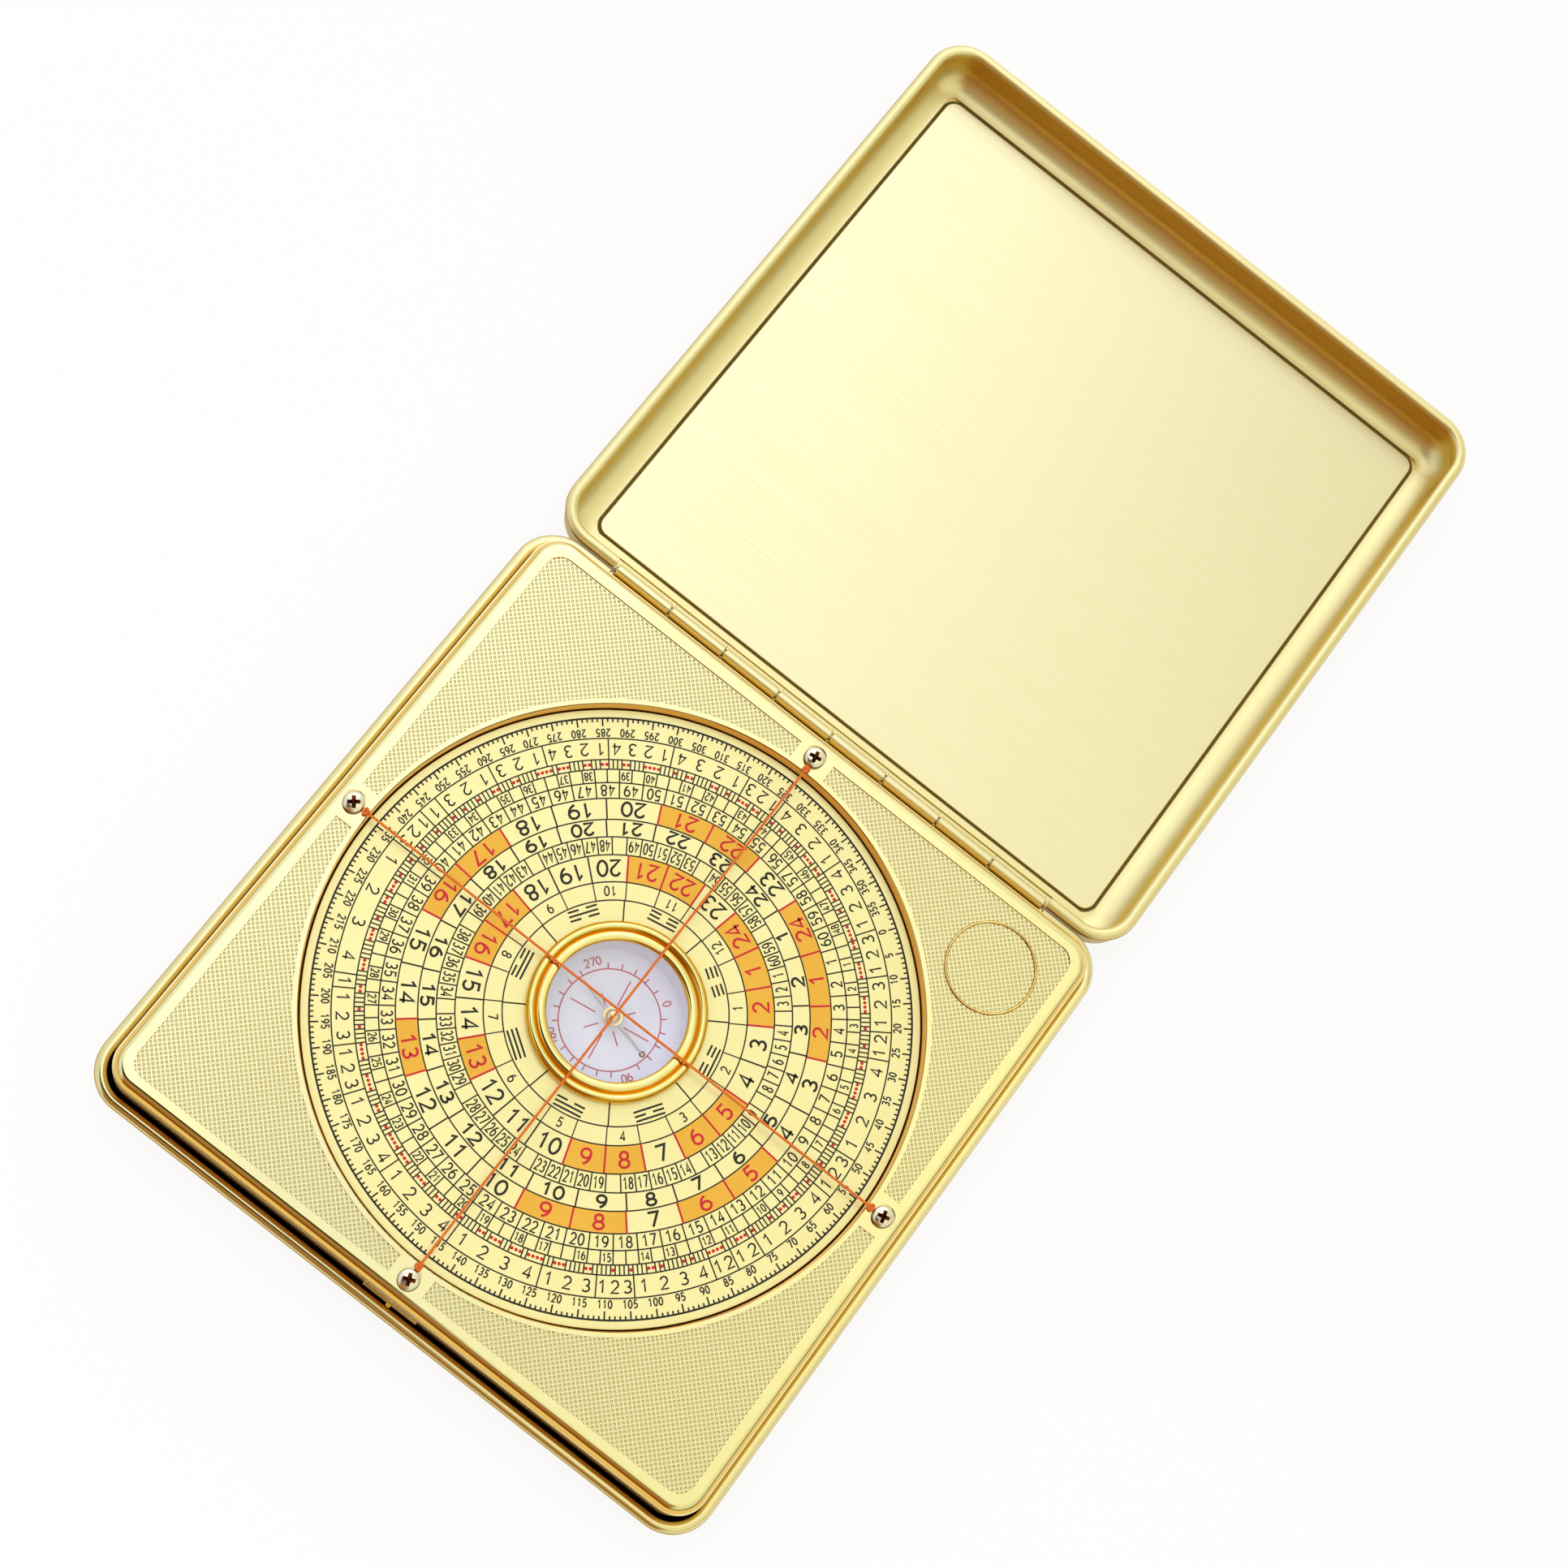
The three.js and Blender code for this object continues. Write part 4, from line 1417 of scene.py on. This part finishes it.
@dataclass(frozen=True)
class CellRing:
    """A ring of equal cells between two of the dial's circles, some of them numbered in order."""

    circle: int
    count: int
    start: float
    numbered: tuple[int, ...]
    size: Pair
    width: float
    gap: float
    rule: float = 0.19


FINE_RINGS = (
    CellRing(2, 120, 0.5, (0, 1, 0, 1, 0), (0.44, 1.05), 0.18, 0.2),
    CellRing(3, 60, 0.5, (1,), (0.72, 1.45), 0.22, 0.32),
    CellRing(6, 72, 1.3, (1, 1, 1, 0, 1, 1), (0.5, 1.5), 0.2, 0.24),
)
LABEL_RING = CellRing(8, 24, 7.3, (1, 0), (0.62, 1.25), 0.2, 0.3, 0.16)


@dataclass
class DialPrint:
    """The dial's printed rings: a degree scale, ruled cells with plain numbers, and the eight trigrams."""

    zero: float = 55.2
    scale_line: float = 40.41
    minor_tick: float = 39.86
    major_tick: float = 39.25
    digit_line: float = 38.36
    digit: Pair = (0.46, 1.0)
    digit_gap: float = 0.24
    rings: tuple[float, ...] = (37.58, 34.61, 33.27, 31.41, 29.23, 26.31, 23.9, 21.44, 17.72, 15.22)
    thin: float = 0.19
    plain: float = 0.22
    bold: float = 0.27
    ink_step: float = 0.004
    lodges: tuple[int, ...] = (
        10, 12, 6, 22, 9, 18, 6, 5, 17, 8, 12, 20, 19, 17, 10, 12, 3, 30, 8, 4, 13, 12, 14, 14, 17, 9, 17, 16)
    lodge_start: float = -1.0
    lodge_steps: tuple[int, ...] = (5, 8, 14)
    lodge_digit: Pair = (1.0, 1.6)
    lodge_line: float = 0.23
    red_dot: float = 0.24
    mountains: tuple[tuple[int, float, Pair, bool], ...] = (
        (4, 7.5, (1.35, 1.9), True), (5, -7.8, (1.25, 1.6), False), (7, -0.3, (1.3, 2.1), True))
    mountain_count: int = 24
    mountain_line: float = 0.34
    mountain_gap: float = 0.42
    marked: tuple[int, ...] = (0, 1, 2, 5, 6, 8, 9, 13, 16, 17, 21, 22)
    trigrams: tuple[str, ...] = ("000", "001", "101", "011", "111", "110", "010", "100")
    bar_radius: float = 13.41
    bar_step: float = 0.62
    bar_half: float = 2.05
    bar_gap: float = 0.5
    trigram_turn: float = -0.6
    trigram_line: float = 0.2
    trigram_lap: float = 0.1
    seed: int = 12

    def __post_init__(self) -> None:
        """Makes a pen for each ink."""
        level = NodeBox.of("dial_plate").high.z
        steps = (self.ink_step, self.ink_step, 0)
        self.black, self.red, self.orange = (Pen(level + step, self.zero) for step in steps)

    def degree_scale(self) -> None:
        """Draws the outer scale with a number at every fifth degree."""
        self.black.circle(self.scale_line, self.bold)
        for degree in range(360):
            inner = self.minor_tick if degree % 5 else self.major_tick
            self.black.spoke(degree, inner, self.scale_line, self.plain)
            if degree % 5 == 0:
                size, gap = self.digit, self.digit_gap
                self.black.numeral(str(degree), degree, self.digit_line, size, self.thin, gap)

    def lodge_ring(self) -> None:
        """Draws the ring of unequal cells, each with a count of its parts."""
        outer, inner = self.rings[:2]
        middle, start = (outer + inner) / 2, self.lodge_start
        for width in self.lodges:
            self.black.spoke(start, inner, outer, self.thin)
            parts = 1 + sum(width >= least for least in self.lodge_steps)
            for part in range(parts):
                reading = start + width * (parts - part - 0.5) / parts
                self.black.numeral(str(part + 1), reading, middle, self.lodge_digit, self.lodge_line)
            start += width

    def dot_ring(self) -> None:
        """Draws the ring of fine cells with groups of red dots."""
        outer, inner = self.rings[1:3]
        draw = random.Random(self.seed)
        marks: list[bool] = []
        while len(marks) < 360:
            marks += [True] * draw.choice((1, 1, 2, 2, 3, 4)) + [False] * draw.choice((1, 2, 3, 3, 4))
        for degree in range(360):
            if marks[degree]:
                self.red.dot(degree + 0.5, (outer + inner) / 2, self.red_dot)
            if not (marks[degree] and marks[degree - 1]):
                self.black.spoke(degree, inner, outer, self.thin)

    def cell_ring(self, ring: CellRing) -> None:
        """Draws a ring of equal cells.

        Args:
            ring: The cells and their numbers.
        """
        outer, inner = self.rings[ring.circle:ring.circle + 2]
        step, number = 360 / ring.count, 0
        for cell in range(ring.count):
            start = ring.start + step * cell
            self.black.spoke(start, inner, outer, ring.rule)
            if ring.numbered[cell % len(ring.numbered)]:
                number += 1
                reading, radius = start + step / 2, (outer + inner) / 2
                self.black.numeral(str(number), reading, radius, ring.size, ring.width, ring.gap)

    def mountain_ring(self, circle: int, turn: float, size: Pair, coloured: bool) -> None:
        """Draws a ring of large numbered cells.

        Args:
            circle: The place of its outer circle.
            turn: The reading at the middle of the first cell.
            size: Width and height of a digit.
            coloured: Whether the marked cells are orange with red numbers.
        """
        outer, inner = self.rings[circle:circle + 2]
        step, radius = 360 / self.mountain_count, (outer + inner) / 2
        for cell in range(self.mountain_count):
            middle = turn + step * cell
            lit = coloured and (cell + 1) % self.mountain_count in self.marked
            edged = lit or coloured and cell in self.marked
            if lit:
                self.orange.cell(middle - step / 2, middle + step / 2, inner, outer)
            rule = self.red if edged else self.black
            rule.spoke(middle - step / 2, inner, outer, self.bold if edged else self.plain)
            ink = self.red if lit else self.black
            ink.numeral(str(cell + 1), middle, radius, size, self.mountain_line, self.mountain_gap)

    def trigram_ring(self) -> None:
        """Draws the eight trigrams and the lines between them."""
        inner, bezel = self.rings[-1], NodeBox.of("bezel_ring").reach
        half, gap, step = self.bar_half, self.bar_gap, 360 / len(self.trigrams)
        for place, lines in enumerate(self.trigrams):
            middle = step * place + self.trigram_turn
            self.black.spoke(middle + step / 2, bezel - self.trigram_lap, inner, self.trigram_line)
            for row, whole in enumerate(lines):
                radius = self.bar_radius + self.bar_step * row
                for start, stop in [(-half, half)] if whole == "1" else [(-half, -gap), (gap, half)]:
                    self.black.bar(middle, radius, start, stop, self.bold)

    def build(self) -> None:
        """Draws all rings and makes a piece of each ink."""
        self.degree_scale()
        for radius in self.rings:
            self.black.circle(radius, self.thin)
        self.lodge_ring()
        self.dot_ring()
        for ring in FINE_RINGS:
            self.cell_ring(ring)
        for mountains in self.mountains:
            self.mountain_ring(*mountains)
        self.cell_ring(LABEL_RING)
        self.trigram_ring()
        self.black.solid.piece("dial_print_black", Body.DIAL, BLACK_INK, weld=False)
        self.red.solid.piece("dial_print_red", Body.DIAL, RED_INK, weld=False)
        self.orange.solid.piece("dial_print_orange", Body.DIAL, ORANGE_INK, weld=False)


@dataclass
class Dial:
    """The turning dial plate with its print, and the moulded carrier under it."""

    edge: float = 0.1
    chamfer: float = 0.3
    well: float = 10.9
    overhang: float = 0.2

    def build(self) -> None:
        """Makes the plate, dresses the carrier and prints the rings."""
        box = NodeBox.of("dial_plate")
        outer, top, edge = box.reach + self.overhang, box.high.z, self.edge
        section = [
            (self.well, box.low.z), (box.reach, box.low.z), (outer, top - self.chamfer),
            *arc((outer - edge, top - edge), (edge, edge), 0, 90, 4), (self.well, top)]
        Solid().turned(section, 240, True).piece("dial_face", Body.DIAL, GROUND, ["dial_plate"])
        carried_over("dial_carrier", DARK)
        DialPrint().build()


@dataclass
class Capsule:
    """The compass in the dial's middle: bezel, cup, printed card, window and pivot."""

    cup_wall: float = 0.8
    cup_floor: float = 0.7
    cup_foot: float = 0.2
    cup_fillet: float = 0.3
    lip: float = 1.1
    band: float = 0.68
    groove: float = 0.34
    step: float = 0.15
    shoulder: float = 0.2
    fit: float = 0.1
    card_hole: float = 0.8
    card_ease: float = 0.05
    pin_taper: float = 1.3
    print_zero: float = 54.0
    print_circle: float = 7.0
    print_line: float = 0.19
    tick: float = 0.85
    number_out: float = 1.2
    number: Pair = (0.62, 1.1)
    number_gap: float = 0.2
    short_ray: Pair = (1.6, 3.7)
    long_ray: Pair = (2.2, 6.0)

    def __post_init__(self) -> None:
        """Reads the capsule's boxes."""
        self.bezel, self.cup = NodeBox.of("bezel_ring"), NodeBox.of("capsule_cup")
        self.card, self.window = NodeBox.of("compass_card"), NodeBox.of("capsule_window")

    def bezel_solid(self) -> Solid:
        """Makes the bezel: a round outer band, a groove and an inner band that slopes to the window.

        Returns:
            The bezel.
        """
        outer, low, top = self.bezel.span
        seat, inner = self.cup.reach + self.fit, self.cup.reach - self.lip
        under, half = self.window.high.z + self.fit, self.band
        second = (outer - 2 * half - inner) / 2
        shoulder = under + self.shoulder
        section = [
            (seat, low), (outer - self.fit, low), (outer, low + self.fit),
            *arc((outer - half, top - half), (half, half), 0, 160, 14),
            (outer - 2 * half, top - self.groove),
            *arc((inner + second, shoulder), (second, top - self.step - shoulder), 20, 170, 12),
            (inner, under), (seat, under)]
        return Solid().turned(section, 160, True)

    def print_solid(self) -> Solid:
        """Draws the card's faint ring, ticks, rays and numbers.

        Returns:
            The print.
        """
        pen = Pen(self.card.high.z, self.print_zero, Heads.OUTWARD)
        circle, line = self.print_circle, self.print_line
        pen.circle(circle, line)
        for tick in range(24):
            reading = 15 * tick
            if tick % 6:
                pen.spoke(reading, circle, circle + self.tick, line)
            else:
                radius, gap = circle + self.number_out, self.number_gap
                pen.numeral(str(reading), reading, radius, self.number, line, gap)
        for ray in range(4):
            pen.spoke(90 * ray, *self.short_ray, line)
            pen.spoke(90 * ray + 45, *self.long_ray, line)
        return pen.solid

    def build(self) -> None:
        """Makes the capsule's pieces."""
        self.bezel_solid().piece("bezel_band", Body.DIAL, POLISHED, ["bezel_ring"], sharp=50)
        outer, low, top = self.cup.span
        inner, floor = outer - self.cup_wall, low + self.cup_floor
        cup = Solid().turned([
            (0, low), (outer - self.cup_foot, low), (outer, low + self.cup_foot), (outer, top), (inner, top),
            (inner, floor + self.cup_fillet), (inner - self.cup_fillet, floor), (0, floor)], 120)
        cup.piece("compass_cup", Body.DIAL, WHITE, ["capsule_cup"])
        rim, low, top = self.card.span
        hole, ease = self.card_hole, self.card_ease
        section = [(hole, low), (rim, low), (rim, top - ease), (rim - ease, top), (hole, top)]
        card = Solid().turned(section, 120, True)
        card.piece("card_disc", Body.DIAL, CARD, ["compass_card"])
        self.print_solid().piece("card_print", Body.DIAL, CARD_INK, weld=False)
        rim, low, top = self.window.span
        inset, ease = rim - self.fit, self.fit
        section = [(0, low), (inset, low), (rim, low + ease), (rim, top - ease), (inset, top), (0, top)]
        pane = Solid().turned(section, 120)
        pane.piece("window_pane", Body.DIAL, WINDOW, ["capsule_window"])
        pin = NodeBox.of("pivot_pin")
        taper = arc((0, pin.high.z - self.pin_taper), (pin.reach, self.pin_taper), 0, 84, 6)
        point = Solid().turned([(0, pin.low.z), (pin.reach, pin.low.z), *taper, (0, pin.high.z)], 32)
        point.piece("pivot_point", Body.DIAL, WIRE, ["pivot_pin"])


@dataclass
class Needle:
    """The magnetised strip with its marked end, and the brass cap that it turns under."""

    heading: float = -14.0
    reach: float = 6.4
    root: float = 1.2
    root_width: float = 0.5
    tip_width: float = 0.3
    ease: Pair = (0.06, 0.05)
    eye: float = 1.35
    eye_hole: float = 0.9
    mark: float = 0.45
    mark_hole: float = 0.2
    mark_rise: float = 0.005
    dome: float = 1.05
    dome_rise: float = 0.75
    socket: tuple[float, ...] = (0.55, 0.74, 0.8)
    flange_depth: float = 0.25
    flange_ease: Pair = (0.05, 0.06)

    def build(self) -> None:
        """Makes the strip, its mark and the cap."""
        box, cap = NodeBox.of("needle"), NodeBox.of("needle_cap")
        low, high = box.low.z, box.high.z
        side, down = self.ease
        strip = Solid()
        for way in (-1, 1):
            rings = []
            for share in (0, 0.5, 1):
                x = way * (self.root + (self.reach - self.root) * share)
                half = (self.root_width + (self.tip_width - self.root_width) * share) / 2
                right = [(half, low), (half, high - down), (half - side, high)]
                corners = [(-half, low), *right, (side - half, high), (-half, high - down)]
                rings.append([Vector((x, y, z)) for y, z in corners])
            strip.skin(rings)
        eye = [(self.eye_hole, low), (self.eye, low), (self.eye, high), (self.eye_hole, high)]
        strip.turned(eye, 40, True).spun(self.heading).piece("needle_strip", Body.NEEDLE, BLADE, ["needle"])
        bead = (self.mark - self.mark_hole) / 2
        loop = arc((self.mark - bead, (low + high) / 2), (bead, (high - low) / 2), 0, 330, 11)
        mark = Solid().turned(loop, 32, True).at(self.reach, 0, self.mark_rise).spun(self.heading)
        mark.piece("needle_mark_ring", Body.NEEDLE, MARK)
        flange, seat, foot = cap.reach, cap.high.z - self.dome_rise, cap.low.z
        inner, lip, outer = self.socket
        under, over = self.flange_ease
        below = seat - self.flange_depth
        section = [
            (0, seat), (inner, foot), (lip, foot), (outer, foot + over), (outer, below),
            (flange - under, below), (flange, below + under), (flange, seat - over), (flange - over, seat),
            *arc((0, seat), (self.dome, cap.high.z - seat), 0, 90, 10)]
        Solid().turned(section, 48).piece("needle_dome", Body.NEEDLE, BRASS, ["needle_cap"])


@dataclass
class Studio:
    """Camera, floor, lamp and the soft dome of light."""

    location: tuple[float, float, float] = (-5.94, -82.04, 401.12)
    aim: tuple[float, float, float] = (-0.94, 43.33, 0.0)
    roll: float = 37.93
    lens: float = 68.27
    sensor: float = 36.0
    nearest: float = 0.01
    floor_reach: float = 60000.0
    floor_low: float = -5.0
    floor_gap: float = 0.05
    floor_shown: float = 0.86
    lamp_place: tuple[float, float, float] = (-100.0, -200.0, 900.0)
    lamp_size: float = 800.0
    lamp_power: float = 3.8
    white: Colour = (1, 1, 1, 1)
    cream: Colour = (1, 0.97, 0.74, 1)
    black: Colour = (0.02, 0.012, 0.006, 1)
    amber: Colour = (0.38, 0.2, 0.06, 1)
    umber: Colour = (0.25, 0.1, 0.03, 1)

    def camera(self) -> None:
        """Sets the camera where the photograph was taken from."""
        place = Vector(self.location)
        ahead = (Vector(self.aim) - place).normalized()
        level = ahead.cross(Vector((0, 1, 0))).normalized()
        upright = level.cross(ahead)
        turn = math.radians(self.roll)
        right = level * math.cos(turn) + upright * math.sin(turn)
        up = right.cross(ahead)
        lens = bpy.data.cameras.new("camera")
        lens.lens = self.lens
        lens.sensor_width = self.sensor
        lens.clip_start = self.nearest
        made = bpy.data.objects.new("camera", lens)
        made.matrix_world = Matrix.Translation(place * MM) @ Matrix((right, up, -ahead)).transposed().to_4x4()
        bpy.context.scene.collection.objects.link(made)
        bpy.context.scene.camera = made

    def floor(self) -> None:
        """Lays the white floor, which keeps a faint shadow."""
        reach = self.floor_reach
        ground = Solid().block((-reach, -reach, self.floor_low), (reach, reach, -self.floor_gap))
        mesh = ground.mesh("floor", MM, True)
        paper = bpy.data.materials.new("floor_paper")
        paper.use_nodes = True
        graph = Graph(paper.node_tree)
        kinds = ("Is Camera Ray", "Is Glossy Ray", "Is Transmission Ray")
        rays = [graph.node("ShaderNodeLightPath", output=kind) for kind in kinds]
        share = (rays[0] + rays[1] + rays[2]).between(0, 1) * self.floor_shown
        grain = graph.mix(graph.noise((0.02, 0.02, 0.02)), (0.9, 0.9, 0.9, 1), (0.92, 0.92, 0.92, 1))
        matt = graph.node("ShaderNodeBsdfDiffuse", None, {"Color": grain})
        white = graph.node("ShaderNodeEmission", None, {"Color": self.white, "Strength": 1.0})
        mixed = graph.node("ShaderNodeMixShader", None, {0: share, 1: matt, 2: white})
        graph.close("ShaderNodeOutputMaterial", mixed)
        mesh.materials.append(paper)
        made = bpy.data.objects.new("floor", mesh)
        bpy.context.scene.collection.objects.link(made)

    def level(self, x: Wire, y: Wire, z: Wire) -> Wire:
        """Sets how bright the dome is.

        Args:
            x: Direction's part to the right.
            y: Its part to the back.
            z: Its part upward.

        Returns:
            The level, brightest behind and to the left.
        """
        side = abs(x)
        lean = x.between(-0.15, 0.15) * y.rise(0.25, 0.45)
        glow = (0 - x).rise(0.04, 0.13) * (1 - side.rise(0.2, 0.4))
        dip = y.rise(0.38, 0.52) * (1 - y.rise(0.54, 0.62))
        right = x.rise(0.06, 0.11) * y.rise(0.25, 0.35)
        above = 0.88 + 0.62 * y.between(0, 0.33) - 1.3 * lean + 0.35 * glow - 0.12 * side.rise(0.3, 0.7)
        above = above - 0.15 * dip - 0.07 * right
        horizon = 0.6 + 0.2 * y - 0.1 * x - 0.2 * side.rise(0.7, 0.95)
        high = z.rise(0.2, 0.7)
        return above * high + horizon * (1 - high)

    def dome(self) -> None:
        """Makes the dome: warm to the right, brown and dark to the front, white near the horizon."""
        world = bpy.data.worlds.new("studio")
        world.use_nodes = True
        bpy.context.scene.world = world
        graph = Graph(world.node_tree)
        x, y, z = graph.parts(graph.coordinate("Generated"), "XYZ")
        warm = graph.mix(x.rise(-0.08, 0.2), self.white, self.cream)
        sockets = {0: warm, "Scale": self.level(x, y, z)}
        sky = graph.node("ShaderNodeVectorMath", {"operation": "SCALE"}, sockets)
        toward = 0 - y
        early = toward.rise(0.02, 0.08) * (1 - x.rise(0.0, 0.06))
        front = (early + toward.rise(0.28, 0.45)).between(0, 1) * (1 - abs(x).rise(0.32, 0.5))
        near = graph.mix(toward.rise(0.2, 0.5), self.black, self.amber)
        room = graph.mix(front, sky, graph.mix(toward.rise(0.7, 0.92), near, self.umber))
        shown = graph.mix(z.rise(0.05, 0.1), self.white, room)
        light = graph.node("ShaderNodeBackground", None, {"Color": shown, "Strength": 1.0})
        graph.close("ShaderNodeOutputWorld", light)

    def lamp(self) -> None:
        """Hangs a wide soft lamp over the object, which the gold does not mirror."""
        lamp = bpy.data.lights.new("softbox", "AREA")
        lamp.energy = self.lamp_power
        lamp.size = self.lamp_size * MM
        made = bpy.data.objects.new("softbox", lamp)
        made.location = Vector(self.lamp_place) * MM
        made.rotation_euler = Vector(made.location).to_track_quat("Z", "Y").to_euler()
        made.visible_glossy = False
        bpy.context.scene.collection.objects.link(made)

    def build(self) -> None:
        """Sets up the studio."""
        bpy.context.scene.view_settings.view_transform = "Standard"
        self.camera()
        self.floor()
        self.dome()
        self.lamp()


def main() -> None:
    """Builds every sub-assembly in order."""
    logging.basicConfig(level=logging.INFO, format="%(name)s %(message)s")
    hinge = HingeRow()
    assemblies = [
        Studio(),
        Tray("base_shell", Body.BASE, hinge, 1, floor=Tray.sheet, slope_foot=2.3, finish=TRAY),
        Tray("lid_shell", Body.LID, hinge, -1),
        LidLiner(),
        hinge,
        EarthFrame(),
        Screws(),
        CrossThreads(),
        Catch(),
        Dial(),
        Capsule(),
        Needle(),
    ]
    for assembly in assemblies:
        assembly.build()
    carried_over("support_plate", DARK)
    carried_over("slip_ring", WHITE)


if __name__ == "__main__":
    main()
